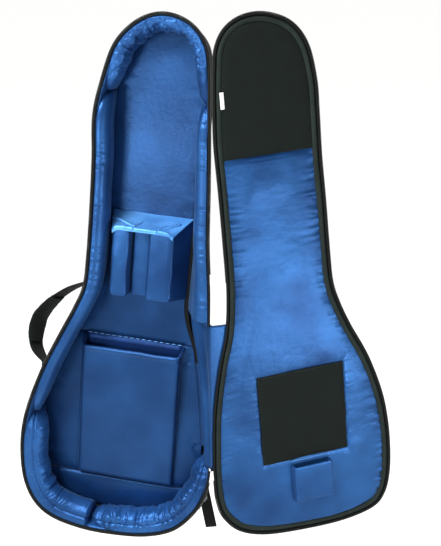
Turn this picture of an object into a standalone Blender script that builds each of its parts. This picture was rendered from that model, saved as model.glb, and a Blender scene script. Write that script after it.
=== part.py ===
"""Padded guitar gig bag, standing upright with its lid swung open on the hinge side.

Units are metres and +Z is up. Everything is built with the hinge axis as the vertical
line x = 0, y = 0 and the foot at z = 0; the last step moves the frame's origin to the
hanging loop. The tray (back half) lies on the -X side and opens towards -Y. The lid is
modelled lying flat on the +X side, under an empty on the hinge axis that swings it open
further.
"""
import math

import bmesh
import bpy
from mathutils import Matrix, Vector

# ---- driving dimensions -----------------------------------------------------------
GAP = 0.0004             # clearance between neighbouring pieces
HINGE_GAP = 0.0035       # how far each half's rim stands off the hinge axis
PAD_CLEAR = 0.0016       # clearance between padding and the wall that it lines
DEPTH = 0.100            # tray depth, from its rim plane to the outside of the back
FLOOR = 0.083            # depth of the padded floor's inner surface
FLOOR_BACK = 0.0948      # depth of the padded floor's outer surface
SKIN = 0.0040            # wall thickness of the padded outer fabric
LID_THICK = 0.022        # lid panel, inner lining to outer skin
LID_DRAFT = 0.030        # how far a lid as deep as the tray would be drawn in at its back
LID_OPEN = math.radians(29.0)    # how far past flat the lid hangs open
TILT = math.radians(5.0)         # lean of each half's centre line towards the hinge
STRAP_BOW = 0.026        # how far a shoulder strap stands off the back
WEBBING = 0.025          # width of the adjusting webbing
HANDLE_WIDTH = 0.038     # width of the handle's webbing
HANDLE_DROOP = math.radians(33.0)   # how far the handle leans back from straight out
TAIL_LEAN = math.radians(11.0)   # the stiff loose webbing curls outwards as it hangs
HANG_POINT = Vector((-0.1078, 0.1108, 0.9745))   # where the hanging loop meets its tab
STEPS = 4                # spline samples for each outline point

# Outline, clockwise from the top of the head and down the side away from the hinge:
# distance from the hinge axis on the tray, the same on the lid, height, and how far
# the back edge of the tray is drawn in from its rim.
OUTLINE = [
    (0.096, 0.099, 1.068, 0.022), (0.139, 0.149, 1.051, 0.020), (0.178, 0.183, 1.011, 0.016),
    (0.204, 0.202, 0.945, 0.012), (0.221, 0.209, 0.880, 0.010), (0.225, 0.216, 0.800, 0.010),
    (0.232, 0.227, 0.710, 0.010), (0.242, 0.238, 0.610, 0.010), (0.252, 0.247, 0.545, 0.010),
    (0.272, 0.263, 0.500, 0.010), (0.300, 0.288, 0.450, 0.010), (0.339, 0.330, 0.378, 0.010),
    (0.373, 0.363, 0.300, 0.010), (0.393, 0.380, 0.235, 0.010), (0.400, 0.389, 0.170, 0.010),
    (0.395, 0.391, 0.108, 0.010), (0.374, 0.382, 0.060, 0.010), (0.337, 0.356, 0.030, 0.010),
    (0.273, 0.286, 0.011, 0.010), (0.205, 0.190, 0.005, 0.010), (0.138, 0.111, 0.008, 0.012),
    (0.082, 0.056, 0.026, 0.014), (0.042, 0.021, 0.062, 0.018), (0.018, 0.007, 0.100, 0.024),
    (0.004, 0.002, 0.142, 0.030), (0.000, 0.000, 0.190, 0.033), (0.000, 0.001, 0.290, 0.038),
    (0.000, 0.012, 0.385, 0.048), (0.000, 0.026, 0.460, 0.058), (0.000, 0.028, 0.545, 0.050),
    (0.003, 0.021, 0.640, 0.034), (0.001, 0.012, 0.740, 0.026), (0.000, 0.003, 0.830, 0.020),
    (0.000, 0.001, 0.900, 0.014), (0.000, 0.001, 0.960, 0.012), (0.004, 0.004, 1.006, 0.016),
    (0.023, 0.021, 1.041, 0.022), (0.056, 0.054, 1.063, 0.024),
]
COUNT = len(OUTLINE)
HEAD_NEAR, HEAD_FAR = 33.0, 3.3      # outline stations where the head bolster ends
BOUT_FAR = 12.6                      # far wall pad meets the far foot bolster
FOOT_SPLIT = 18.1                    # the two foot bolsters meet
HINGE_FOOT, HINGE_HEAD = 24.6, 28.2  # stations between which the lid is sewn on
HANDLE_SPOTS = (8.2, 11.35)          # stations of the handle's two anchors

BLUE = (0.020, 0.105, 0.420)
BLACK = (0.012, 0.020, 0.018)


# ---- scene, materials and mesh helpers ----------------------------------------------
def clear_scene():
    for obj in list(bpy.data.objects):
        bpy.data.objects.remove(obj, do_unlink=True)


def material(name, colour, roughness, metallic=0.0):
    mat = bpy.data.materials.new(name)
    mat.use_nodes = True
    shader = mat.node_tree.nodes["Principled BSDF"]
    shader.inputs["Base Color"].default_value = (*colour, 1.0)
    shader.inputs["Roughness"].default_value = roughness
    shader.inputs["Metallic"].default_value = metallic
    return mat


FINISHES = {
    "satin": (BLUE, 0.38, 0.0),
    "shell_fabric": (BLACK, 0.80, 0.0),
    "binding": ((0.020, 0.032, 0.029), 0.60, 0.0),
    "webbing": ((0.010, 0.014, 0.013), 0.70, 0.0),
    "foam": ((0.060, 0.060, 0.065), 0.95, 0.0),
    "zip_tape": ((0.008, 0.010, 0.010), 0.60, 0.0),
    "zip_metal": ((0.450, 0.450, 0.460), 0.30, 1.0),
    "label": ((0.800, 0.800, 0.780), 0.70, 0.0),
    "buckle": ((0.010, 0.010, 0.010), 0.45, 0.0),
}


def add_object(name, bm, finish, smooth=False):
    bmesh.ops.recalc_face_normals(bm, faces=bm.faces)
    mesh = bpy.data.meshes.new(name)
    bm.to_mesh(mesh)
    bm.free()
    for poly in mesh.polygons:
        poly.use_smooth = smooth
    obj = bpy.data.objects.new(name, mesh)
    bpy.context.scene.collection.objects.link(obj)
    mesh.materials.append(material(name, *FINISHES[finish]))
    return obj


def empty(name, location, rotation=(0.0, 0.0, 0.0)):
    obj = bpy.data.objects.new(name, None)
    obj.location = location
    obj.rotation_euler = rotation
    bpy.context.scene.collection.objects.link(obj)
    return obj


def keep_place(obj, parent):
    """Parent obj and leave it where it already is in the world."""
    bpy.context.view_layer.update()
    obj.parent = parent
    obj.matrix_parent_inverse = parent.matrix_world.inverted()


# ---- the outline --------------------------------------------------------------------
def catmull(a, b, c, d, t):
    return 0.5 * (2 * b + (c - a) * t + (2 * a - 5 * b + 4 * c - d) * t * t
                  + (3 * b - a - 3 * c + d) * t ** 3)


def station(half, s):
    """Signed x, height and back inset of the rim at station s of one half."""
    i = math.floor(s)
    rows = [OUTLINE[(i + k) % COUNT] for k in (-1, 0, 1, 2)]
    pick = 0 if half == "tray" else 1
    t = s - i
    dist, z, inset = (catmull(*[row[j] for row in rows], t) for j in (pick, 2, 3))
    if half == "tray":
        return -(dist + HINGE_GAP), z, inset
    return dist + HINGE_GAP, z, LID_DRAFT


def rim_samples(half, start, end, steps=STEPS):
    """Points along the rim between two stations: position, outward normal, inset.

    The points between the two ends lie on one grid, so neighbouring pieces share it.
    """
    if end <= start:
        end += COUNT
    grid = [k / steps for k in range(math.floor(start * steps), math.ceil(end * steps) + 1)]
    margin = 0.3 / steps
    stations = [start] + [s for s in grid if start + margin < s < end - margin] + [end]
    samples = []
    for s in stations:
        x, z, inset = station(half, s)
        ahead, behind = station(half, s + 0.05), station(half, s - 0.05)
        along = Vector((ahead[0] - behind[0], ahead[1] - behind[1])).normalized()
        outward = Vector((along[1], -along[0])) * (1.0 if half == "tray" else -1.0)
        samples.append((Vector((x, z)), outward, inset, (s - start) / (end - start)))
    return samples


def at(sample, inward, depth):
    """The 3-D point a distance inward of the drafted wall line, at a depth."""
    pos, out, inset, _ = sample
    draw_in = inward + inset * depth / DEPTH
    return Vector((pos[0] - out[0] * draw_in, depth, pos[1] - out[1] * draw_in))


def sweep(name, half, start, end, section, finish, steps=STEPS, smooth=False):
    """Closed solid along the rim; section(t) lists (inward, depth) round its edge.

    From a station back to itself it is a ring, otherwise its two ends are capped.
    """
    bm = bmesh.new()
    ring = end - start == COUNT
    samples = rim_samples(half, start, end, steps)
    if ring:
        samples.pop()
    rings = []
    for sample in samples:
        points = section(sample[3])
        rings.append([bm.verts.new(at(sample, *point)) for point in points])
    size = len(rings[0])
    pairs = list(zip(rings, rings[1:]))
    if ring:
        pairs.append((rings[-1], rings[0]))
    else:
        bm.faces.new(rings[0])
        bm.faces.new(rings[-1])
    for lower, upper in pairs:
        for j in range(size):
            bm.faces.new((lower[j], lower[(j + 1) % size], upper[(j + 1) % size], upper[j]))
    return add_object(name, bm, finish, smooth)


def offset_outline(half, inward, depth, steps=STEPS):
    samples = rim_samples(half, 0.0, COUNT, steps)[:-1]
    points = [at(sample, inward, depth) for sample in samples]
    return [Vector((p.x, p.z)) for p in points]


def clip(points, anchor, normal):
    """Keep the part of a polygon on the side of a line that its normal points to."""
    kept = []
    for here, there in zip(points, points[1:] + points[:1]):
        a = (here - anchor).dot(normal)
        b = (there - anchor).dot(normal)
        if a >= 0:
            kept.append(here)
        if a * b < 0:
            kept.append(here.lerp(there, a / (a - b)))
    return kept


def plate(name, points, near, far, finish):
    """Flat solid between two depths with the given x-z outline."""
    bm = bmesh.new()
    front = [bm.verts.new((p[0], near, p[1])) for p in points]
    back = [bm.verts.new((p[0], far, p[1])) for p in points]
    bm.faces.new(front)
    bm.faces.new(back[::-1])
    for j in range(len(points)):
        k = (j + 1) % len(points)
        bm.faces.new((front[j], front[k], back[k], back[j]))
    return add_object(name, bm, finish)


def block(name, size, finish, bevel=0.0, taper=None):
    """Box centred on its origin; taper moves the -Y face's corners (dx-, dx+, dz-, dz+)."""
    bm = bmesh.new()
    bmesh.ops.create_cube(bm, size=1.0)
    bmesh.ops.scale(bm, vec=size, verts=bm.verts)
    if taper:
        for v in bm.verts:
            if v.co.y < 0:
                v.co.x += taper[0] if v.co.x < 0 else -taper[1]
                v.co.z += taper[2] if v.co.z < 0 else -taper[3]
    if bevel:
        bmesh.ops.bevel(bm, geom=bm.edges, offset=bevel, segments=2, affect="EDGES")
    return add_object(name, bm, finish)


def ribbon(name, path, widths, thickness, across, finish, smooth=False):
    """Strap along 3-D points; across is the direction of its width."""
    bm = bmesh.new()
    rings = []
    for k, (point, width) in enumerate(zip(path, widths)):
        before, after = path[max(k - 1, 0)], path[min(k + 1, len(path) - 1)]
        along = (after - before).normalized()
        half_thick = along.cross(across).normalized() * thickness / 2
        half_wide = half_thick.cross(along).normalized() * width / 2
        corners = ((1, -1), (1, 1), (-1, 1), (-1, -1))
        rings.append([bm.verts.new(point + half_thick * i + half_wide * j) for i, j in corners])
    for lower, upper in zip(rings, rings[1:]):
        for j in range(4):
            bm.faces.new((lower[j], lower[(j + 1) % 4], upper[(j + 1) % 4], upper[j]))
    bm.faces.new(rings[0])
    bm.faces.new(rings[-1])
    return add_object(name, bm, finish, smooth)


def place(obj, location, rotation=(0.0, 0.0, 0.0)):
    obj.location = location
    obj.rotation_euler = rotation
    return obj


def rectangle(inner, outer, near, far):
    return [(outer, near), (inner, near), (inner, far), (outer, far)]


# ---- tray: shell, rim and zip ---------------------------------------------------------
def build_tray_shell():
    wall = rectangle(SKIN, 0.0, 0.0046, DEPTH - 0.0050)
    joints = [("side_wall_head", HEAD_NEAR + 1.0, 3.0), ("side_wall_neck", 3.0, 9.0),
              ("side_wall_bout", 9.0, 14.0), ("side_wall_foot", 14.0, 19.5),
              ("side_wall_foot_corner", 19.5, HINGE_FOOT),
              ("hinge_gusset", HINGE_FOOT, HINGE_HEAD),
              ("side_wall_near", HINGE_HEAD, HEAD_NEAR + 1.0)]
    trim = 0.004
    for name, start, end in joints:
        finish = "satin" if name == "hinge_gusset" else "shell_fabric"
        section = wall
        if name == "hinge_gusset":
            section = rectangle(0.0020, 0.0, 0.0046, DEPTH - 0.0050)
        sweep(name, "tray", start + trim, end - trim, lambda t, s=section: s, finish)
    plate("back_panel", offset_outline("tray", 0.0, DEPTH - 0.0046), DEPTH - 0.0046, DEPTH,
          "shell_fabric")
    rim = [(-0.0010, 0.0010), (0.0046, 0.0010), (0.0052, 0.0042), (-0.0010, 0.0042)]
    sweep("rim_binding_tray", "tray", HINGE_HEAD + 0.02, HINGE_FOOT + COUNT - 0.02,
          lambda t: rim, "binding")
    tape = rectangle(-0.0013, -0.0030, 0.0010, 0.0038)
    sweep("zip_coil_tray", "tray", 29.4, 24.0 + COUNT, lambda t: tape, "zip_tape")


# ---- tray: padding --------------------------------------------------------------------
def pad_section(thick, front, ends, limit=1.0):
    """Section of a wall pad that thins out towards its ends over the fraction ends."""
    def section(t):
        edge = min(t, limit - t) / ends
        full = math.sqrt(max(0.0, 1 - (1 - min(edge, 1.0)) ** 2))
        width = 0.004 + (thick - 0.004) * full
        inner = SKIN + PAD_CLEAR
        deep = FLOOR - GAP
        return [(inner, front), (inner + width * 0.55, front), (inner + width, front + 0.012),
                (inner + width, 0.045), (inner + width * 0.25, deep), (inner, deep)]
    return section


def build_tray_padding():
    pads = [("head_bolster", HEAD_NEAR, HEAD_FAR, 0.026, 0.10),
            ("wall_pad_far", HEAD_FAR, BOUT_FAR, 0.016, 0.14),
            ("foot_bolster_far", BOUT_FAR, FOOT_SPLIT, 0.036, 0.16),
            ("foot_bolster_near", FOOT_SPLIT, HINGE_FOOT, 0.036, 0.16),
            ("wall_pad_near", HINGE_HEAD, HEAD_NEAR, 0.015, 0.16)]
    for name, start, end, thick, ends in pads:
        sweep(name, "tray", start + 0.02, end - 0.02, pad_section(thick, 0.0060, ends), "satin")
    outline = offset_outline("tray", SKIN + PAD_CLEAR, FLOOR_BACK)
    up = Vector((math.sin(TILT), math.cos(TILT)))
    seam_high, seam_low = Vector((-0.175, 0.410)), Vector((-0.205, 0.090))
    body = clip(clip(outline, seam_high, -up), seam_low, up)
    plate("floor_pad_neck", clip(outline, seam_high + up * GAP, up), FLOOR, FLOOR_BACK, "satin")
    plate("floor_pad_body", body, FLOOR, FLOOR_BACK, "satin")
    plate("floor_pad_foot", clip(outline, seam_low - up * GAP, -up), FLOOR, FLOOR_BACK, "satin")


def build_neck_rest():
    """Cradle for the instrument's neck: two padded rails with a channel between them."""
    centre = empty("neck_rest_frame", (-0.1405, 0.0, 0.5905), (0.0, TILT, 0.0))
    rail_top, channel_top = 0.036, 0.060
    rails = [("neck_rest_rail_far", -0.0560, 0.0480, (0.012, 0.004, 0.002, 0.020)),
             ("neck_rest_rail_near", 0.0425, 0.0790, (0.002, 0.0305, 0.002, 0.020))]
    height = FLOOR - GAP - rail_top
    for name, x, width, taper in rails:
        rail = block(name, (width, height, 0.165), "satin", 0.003, taper)
        place(rail, (x, rail_top + height / 2, 0.0))
        rail.parent = centre
    height = FLOOR - GAP - channel_top
    channel = block("neck_rest_channel", (0.0335, height, 0.160), "satin", 0.002)
    place(channel, (-0.0145, channel_top + height / 2, 0.0))
    channel.parent = centre


def pocket(name, size, wall, finish, bevel, thinner=0.0):
    """Padded box pocket, open at its upper end, with its front face towards -Y.

    It is thinner at its foot than at its mouth by that much.
    """
    width, depth, height = size
    bm = bmesh.new()
    bmesh.ops.create_cube(bm, size=1.0)
    bmesh.ops.scale(bm, vec=size, verts=bm.verts)
    front_edges = [e for e in bm.edges if all(v.co.y < 0 for v in e.verts)
                   and any(v.co.z < 0 for v in e.verts)]
    bmesh.ops.bevel(bm, geom=front_edges, offset=bevel, segments=2, affect="EDGES")
    top = max(bm.faces, key=lambda f: (f.normal.z, f.calc_area()))
    bmesh.ops.inset_region(bm, faces=[top], thickness=wall, use_even_offset=True)
    for vert in top.verts:
        vert.co.z = height / 2
    moved = bmesh.ops.extrude_face_region(bm, geom=[top])
    bmesh.ops.delete(bm, geom=[top], context="FACES_ONLY")
    deep = [v for v in moved["geom"] if isinstance(v, bmesh.types.BMVert)]
    bmesh.ops.translate(bm, vec=(0.0, 0.0, wall - height), verts=deep)
    for vert in bm.verts:
        if vert.co.y < 0 and vert.co.z < 0:
            vert.co.y += thinner
    return add_object(name, bm, finish)


def build_document_pocket():
    depth = 0.031
    obj = pocket("document_pocket", (0.205, depth, 0.315), 0.0045, "satin", 0.005, 0.013)
    place(obj, (-0.1913, FLOOR - GAP - depth / 2, 0.2515), (0.0, TILT, 0.0))


# ---- tray: back, straps, handle ---------------------------------------------------------
def patch(name, location, size, rotation, finish):
    return place(block(name, size, finish, 0.0006), location, rotation)


def build_back():
    back = DEPTH + GAP
    patch("back_contact_pad", (-0.167, back + 0.004, 0.410), (0.056, 0.008, 0.180),
          (0.0, TILT, 0.0), "shell_fabric")
    patch("strap_yoke", (-0.119, back + 0.002, 0.885), (0.150, 0.004, 0.050),
          (0.0, TILT, 0.0), "shell_fabric")
    patch("hang_loop_tab", (-0.106, back + 0.0015, 0.995), (0.050, 0.003, 0.036),
          (0.0, TILT, 0.0), "webbing")
    axis = empty("hang_loop_axis", HANG_POINT, (0.0, TILT, 0.0))
    path = []
    for k in range(9):
        turn = math.pi * k / 8
        path.append(Vector((0.017 * math.cos(turn), 0.0, -0.040 - 0.017 * math.sin(turn))))
    path = [Vector((0.017, 0.0, 0.0))] + path + [Vector((-0.017, 0.0, 0.0))]
    loop = ribbon("hang_loop", path, [0.012] * len(path), 0.0018, Vector((0.0, 1.0, 0.0)),
                  "webbing")
    loop.parent = axis


def build_strap(side, top, foot, tail_length, tail_lean):
    """Shoulder strap: padded upper part, webbing, ladder lock, anchor and loose tail.

    It is held at both ends and bows away from the back, so it can swing about the line
    through its ends.
    """
    top, foot = Vector(top), Vector(foot)
    name = "strap_" + side
    axis = empty(name + "_axis", top)
    down = (foot - top).normalized()
    across = Vector((0.0, 1.0, 0.0)).cross(down)
    length = (foot - top).length

    def bow(t):
        return top + down * length * t + Vector((0.0, STRAP_BOW * math.sin(math.pi * t) ** 0.6, 0.0))

    pad_path = [bow(t) for t in (0.012, 0.05, 0.12, 0.22, 0.34, 0.46, 0.56, 0.60)]
    pad_widths = (0.034, 0.048, 0.060, 0.062, 0.062, 0.060, 0.050, 0.036)
    web_path = [bow(t) for t in (0.602, 0.68, 0.735)]
    lower_path = [bow(t) for t in (0.785, 0.87, 0.94, 0.975, 0.992)]
    pieces = [ribbon(name + "_pad", pad_path, pad_widths, 0.011, across, "shell_fabric"),
              ribbon(name + "_webbing", web_path, [WEBBING] * 3, 0.0016, across, "webbing"),
              ribbon(name + "_lower_webbing", lower_path, [WEBBING] * 3 + [0.014, 0.010],
                     0.0016, across, "webbing")]
    lock = ladder_lock(f"ladder_lock_{side}", bow(0.737), bow(0.783), across)
    for piece in pieces + [lock]:
        keep_place(piece, axis)
    patch(name + "_anchor", (foot.x, DEPTH + GAP + 0.0015, foot.z), (0.034, 0.003, 0.040),
          (0.0, TILT, 0.0), "webbing")

    pivot = bow(0.760) + Vector((0.0, 0.0072, 0.0))
    hinge = empty(f"tail_{side}_axis", pivot)
    drop = Vector((math.sin(tail_lean), 0.0, -math.cos(tail_lean)))
    tail_path = [pivot + drop * tail_length * t for t in (0.0, 0.3, 0.65, 1.0)]
    tail = ribbon(f"tail_{side}", tail_path, [WEBBING] * 4, 0.0016,
                  Vector((-drop.z, 0.0, drop.x)), "webbing")
    keep_place(tail, hinge)


def ladder_lock(name, start, end, across):
    """Three-bar webbing buckle lying between two points of a strap."""
    bm = bmesh.new()
    along = (end - start).normalized()
    out = along.cross(across).normalized()
    middle = (start + end) / 2
    length = (end - start).length - 0.0016
    frame = Matrix((across.normalized(), out, along)).transposed().to_4x4()
    bmesh.ops.create_cube(bm, size=1.0)
    bmesh.ops.scale(bm, vec=(0.034, 0.0050, length), verts=bm.verts)
    bmesh.ops.bevel(bm, geom=bm.edges, offset=0.001, segments=1, affect="EDGES")
    bmesh.ops.transform(bm, matrix=Matrix.Translation(middle) @ frame, verts=bm.verts)
    return add_object(name, bm, "buckle")


def wall_spot(station_number, off):
    """A point on the tray's side wall, half way back, standing off it, and how a tab lies on it."""
    sample = rim_samples("tray", station_number, station_number + 0.2)[0]
    outward = sample[1]
    slope = at(sample, 0.0, DEPTH) - at(sample, 0.0, 0.0)
    draft = math.atan2(math.hypot(slope.x, slope.z), slope.y)
    lean = math.atan2(-outward[1], outward[0]) + math.pi
    turn = Matrix.Rotation(lean, 4, "Y") @ Matrix.Rotation(-draft, 4, "Z")
    return at(sample, -off, DEPTH / 2), turn.to_euler()


def build_handle():
    """Carrying handle: two webbing ends and a padded grip, drooping from its anchors."""
    tab_thick = 0.0026
    stand_off = 0.0022 + tab_thick / 2
    spots = [wall_spot(s, stand_off) for s in HANDLE_SPOTS]
    upper, lower = spots[0][0], spots[1][0]
    axis = empty("handle_axis", (upper + lower) / 2)
    along = (lower - upper).normalized()
    level = Vector((along.z, 0.0, -along.x))
    out = level * math.cos(HANDLE_DROOP) + Vector((0.0, math.sin(HANDLE_DROOP), 0.0))
    across = along.cross(out)
    # distance along the line from anchor to anchor, and distance out from that line
    reach = [(0.0040, 0.0090), (0.0160, 0.0200), (0.0425, 0.0415), (0.0783, 0.0622),
             (0.1160, 0.0763), (0.1422, 0.0802), (0.1678, 0.0736), (0.1886, 0.0617),
             (0.1993, 0.0468), (0.2041, 0.0261), (0.2050, 0.0095)]
    points = [upper + along * a + out * b for a, b in reach]
    for piece in (
        ribbon("handle_webbing_upper", points[0:4], (0.008, 0.018, 0.032, HANDLE_WIDTH), 0.003,
               across, "webbing"),
        ribbon("handle_webbing_lower", points[7:11], (HANDLE_WIDTH, 0.032, 0.018, 0.008), 0.003,
               across, "webbing"),
        ribbon("handle_grip", [points[3].lerp(points[4], 0.03)] + points[4:7]
               + [points[6].lerp(points[7], 0.97)],
               (0.034, 0.044, 0.046, 0.044, 0.034), 0.010, across, "shell_fabric"),
    ):
        keep_place(piece, axis)
    for name, (point, turn) in zip(("handle_anchor_upper", "handle_anchor_lower"), spots):
        tab = block(name, (tab_thick, 0.040, 0.036), "webbing", 0.0005)
        place(tab, point, turn)


# ---- lid ----------------------------------------------------------------------------------
def build_lid():
    """The lid panel, laid out flat on +X, then swung open about the hinge."""
    swing = empty("lid_hinge", (0.0, 0.0, 0.0), (0.0, 0.0, LID_OPEN))
    up = Vector((-math.sin(TILT), math.cos(TILT)))
    patch_line = Vector((0.118, 0.808))
    lining = offset_outline("lid", 0.0160, 0.0058)
    head = clip(offset_outline("lid", 0.0165, 0.0026), patch_line, up)
    rib = [(0.0052, 0.0026), (0.0080, 0.0008), (0.0120, 0.0008), (0.0152, 0.0028),
           (0.0152, 0.0058), (0.0052, 0.0058)]
    edge = rectangle(0.0040, 0.0, 0.0046, 0.0180)
    rim = [(-0.0008, 0.0010), (0.0046, 0.0010), (0.0046, 0.0042), (-0.0008, 0.0042)]
    coil = rectangle(-0.0012, -0.0030, 0.0010, 0.0036)
    pieces = [
        plate("lid_lining", lining, 0.0030, 0.0058, "satin"),
        plate("lid_headstock_patch", head, 0.0010, 0.0026, "shell_fabric"),
        plate("lid_foam", offset_outline("lid", 0.0046, 0.0180), 0.0062, 0.0180, "foam"),
        plate("lid_back_skin", offset_outline("lid", 0.0, LID_THICK), 0.0184, LID_THICK,
              "shell_fabric"),
        sweep("lid_edge_wall", "lid", 0.0, COUNT, lambda t: edge, "shell_fabric"),
        sweep("lid_binding", "lid", 0.0, COUNT, lambda t: rim, "binding"),
        sweep("lid_piping", "lid", 0.0, COUNT, lambda t: rib, "binding"),
        sweep("zip_coil_lid", "lid", HINGE_HEAD + 1.0, HINGE_FOOT + COUNT - 0.5, lambda t: coil,
              "zip_tape"),
        place(block("lid_bridge_patch", (0.186, 0.0016, 0.194), "shell_fabric"),
              (0.195, 0.0018, 0.268), (0.0, -TILT, 0.0)),
        place(pocket("accessory_pocket", (0.084, 0.018, 0.082), 0.0030, "satin", 0.004),
              (0.2180, -0.0064, 0.118), (0.0, -TILT, 0.0)),
        place(block("label_tag", (0.0075, 0.0008, 0.031), "label"),
              (0.0205, 0.0002, 0.912), (0.0, -TILT, 0.0)),
        build_lid_gusset(),
    ]
    for piece in pieces:
        piece.parent = swing


def build_lid_gusset():
    """Fabric web that fills the gap between the lid's waist and the hinge line."""
    edge = [at(sample, -0.0012, 0.0) for sample in rim_samples("lid", 26.2, HINGE_HEAD)]
    points = [Vector((p.x, p.z)) for p in edge]
    hem = 0.0010
    points += [Vector((hem, points[-1][1])), Vector((hem, points[0][1]))]
    return plate("lid_gusset", points, 0.0046, 0.0062, "satin")


# ---- zip slider ---------------------------------------------------------------------------
def build_slider():
    """Slider parked at the foot end of the zip, with a pull tab that hangs from it."""
    sample = rim_samples("tray", 23.1, 23.3)[0]
    outward = sample[1]
    along = Vector((-outward[1], 0.0, outward[0]))
    lean = math.atan2(along.x, along.z)
    centre = at(sample, -0.0050, 0.0088)
    rail = empty("zip_slider_rail", centre, (0.0, lean, 0.0))
    body = block("zip_slider", (0.0060, 0.0080, 0.0120), "zip_metal", 0.0010)
    body.parent = rail
    pull_axis = empty("slider_pull_axis", (0.0, 0.0, -0.0078))
    pull_axis.parent = rail
    tab = block("slider_pull", (0.0014, 0.0060, 0.0220), "zip_metal", 0.0004)
    place(tab, (0.0, 0.0, -0.0104))
    tab.parent = pull_axis


def move_origin(point):
    """Put the frame's origin at a point, by moving every object that has no parent."""
    for obj in bpy.data.objects:
        if obj.parent is None:
            obj.location -= point


def main():
    clear_scene()
    build_tray_shell()
    build_tray_padding()
    build_neck_rest()
    build_document_pocket()
    build_back()
    build_strap("near", (-0.083, 0.1120, 0.850), (-0.098, 0.1060, 0.125), 0.339, TAIL_LEAN)
    build_strap("far", (-0.154, 0.1120, 0.850), (-0.315, 0.1060, 0.125), 0.150, 0.0)
    build_handle()
    build_lid()
    build_slider()
    move_origin(HANG_POINT)


main()
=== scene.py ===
"""Looks of the padded gig bag: fabric, padding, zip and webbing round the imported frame.

Lengths are metres. Shapes are made in bag coordinates: the hinge axis is the vertical line
x = 0, y = 0, the foot is at z = 0, the tray lies on -X and opens towards -Y. The lid is
made lying flat on +X and is then swung open. DEPTH runs along +Y from the rim plane.
"""
import math

import bmesh
import bpy
import numpy as np
from mathutils import Matrix, Vector


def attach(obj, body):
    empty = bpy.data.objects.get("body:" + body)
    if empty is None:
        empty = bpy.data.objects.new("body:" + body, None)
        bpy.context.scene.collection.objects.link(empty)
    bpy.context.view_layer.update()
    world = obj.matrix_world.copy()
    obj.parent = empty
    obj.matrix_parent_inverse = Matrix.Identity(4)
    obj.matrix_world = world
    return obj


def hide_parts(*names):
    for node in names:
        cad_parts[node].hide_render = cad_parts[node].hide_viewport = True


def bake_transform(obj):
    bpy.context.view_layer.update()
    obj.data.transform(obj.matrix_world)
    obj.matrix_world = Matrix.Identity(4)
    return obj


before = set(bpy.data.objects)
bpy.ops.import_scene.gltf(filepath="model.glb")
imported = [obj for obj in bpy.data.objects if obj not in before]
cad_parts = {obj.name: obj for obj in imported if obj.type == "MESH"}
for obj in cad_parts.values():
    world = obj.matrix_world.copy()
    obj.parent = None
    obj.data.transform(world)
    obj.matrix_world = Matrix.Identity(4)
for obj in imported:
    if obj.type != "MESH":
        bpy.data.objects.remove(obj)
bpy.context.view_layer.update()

# ---- dimensions shared with the CAD ----
HINGE_GAP = 0.0035       # how far each half's rim stands off the hinge axis
PAD_CLEAR = 0.0016       # clearance between padding and the wall that it lines
DEPTH = 0.1              # tray depth
FLOOR = 0.083            # depth of the padded floor's face
FLOOR_BACK = 0.0948
SKIN = 0.004             # wall thickness
LID_THICK = 0.022
LID_DRAFT = 0.03         # slope of the lid's edge, as an inset over the tray's depth
LID_OPEN = math.radians(29.0)
TILT = math.radians(5.0)
STRAP_BOW = 0.026
WEBBING = 0.025
TAIL_LEAN = math.radians(11.0)
HANDLE_DROOP = math.radians(33.0)
HANG_POINT = Vector((-0.1078, 0.1108, 0.9745))
OUTLINE = np.array([     # distance from the hinge axis on tray and lid, height, back inset
    (0.096, 0.099, 1.068, 0.022), (0.139, 0.149, 1.051, 0.020), (0.178, 0.183, 1.011, 0.016),
    (0.204, 0.202, 0.945, 0.012), (0.221, 0.209, 0.880, 0.010), (0.225, 0.216, 0.800, 0.010),
    (0.232, 0.227, 0.710, 0.010), (0.242, 0.238, 0.610, 0.010), (0.252, 0.247, 0.545, 0.010),
    (0.272, 0.263, 0.500, 0.010), (0.300, 0.288, 0.450, 0.010), (0.339, 0.330, 0.378, 0.010),
    (0.373, 0.363, 0.300, 0.010), (0.393, 0.380, 0.235, 0.010), (0.400, 0.389, 0.170, 0.010),
    (0.395, 0.391, 0.108, 0.010), (0.374, 0.382, 0.060, 0.010), (0.337, 0.356, 0.030, 0.010),
    (0.273, 0.286, 0.011, 0.010), (0.205, 0.190, 0.005, 0.010), (0.138, 0.111, 0.008, 0.012),
    (0.082, 0.056, 0.026, 0.014), (0.042, 0.021, 0.062, 0.018), (0.018, 0.007, 0.100, 0.024),
    (0.004, 0.002, 0.142, 0.030), (0.000, 0.000, 0.190, 0.033), (0.000, 0.001, 0.290, 0.038),
    (0.000, 0.012, 0.385, 0.048), (0.000, 0.026, 0.460, 0.058), (0.000, 0.028, 0.545, 0.050),
    (0.003, 0.021, 0.640, 0.034), (0.001, 0.012, 0.740, 0.026), (0.000, 0.003, 0.830, 0.020),
    (0.000, 0.001, 0.900, 0.014), (0.000, 0.001, 0.960, 0.012), (0.004, 0.004, 1.006, 0.016),
    (0.023, 0.021, 1.041, 0.022), (0.056, 0.054, 1.063, 0.024),
])
COUNT = len(OUTLINE)
HEAD_NEAR, HEAD_FAR = 33.0, 3.3
BOUT_FAR = 12.6
BRIDGE_PATCH, PATCH_SIZE = (0.195, 0.268), (0.186, 0.194)    # centre on the flat lid, size
POCKET_PLACE = (-0.1913, 0.2515)
FOOT_SPLIT = 18.1
HINGE_FOOT, HINGE_HEAD = 24.6, 28.2

TRAY_SPACE = Matrix.Translation(-HANG_POINT)
LID_SPACE = TRAY_SPACE @ Matrix.Rotation(LID_OPEN, 4, "Z")


# ---- smooth noise ----
TABLE = np.random.RandomState(11).uniform(-1.0, 1.0, (256, 256))


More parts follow.
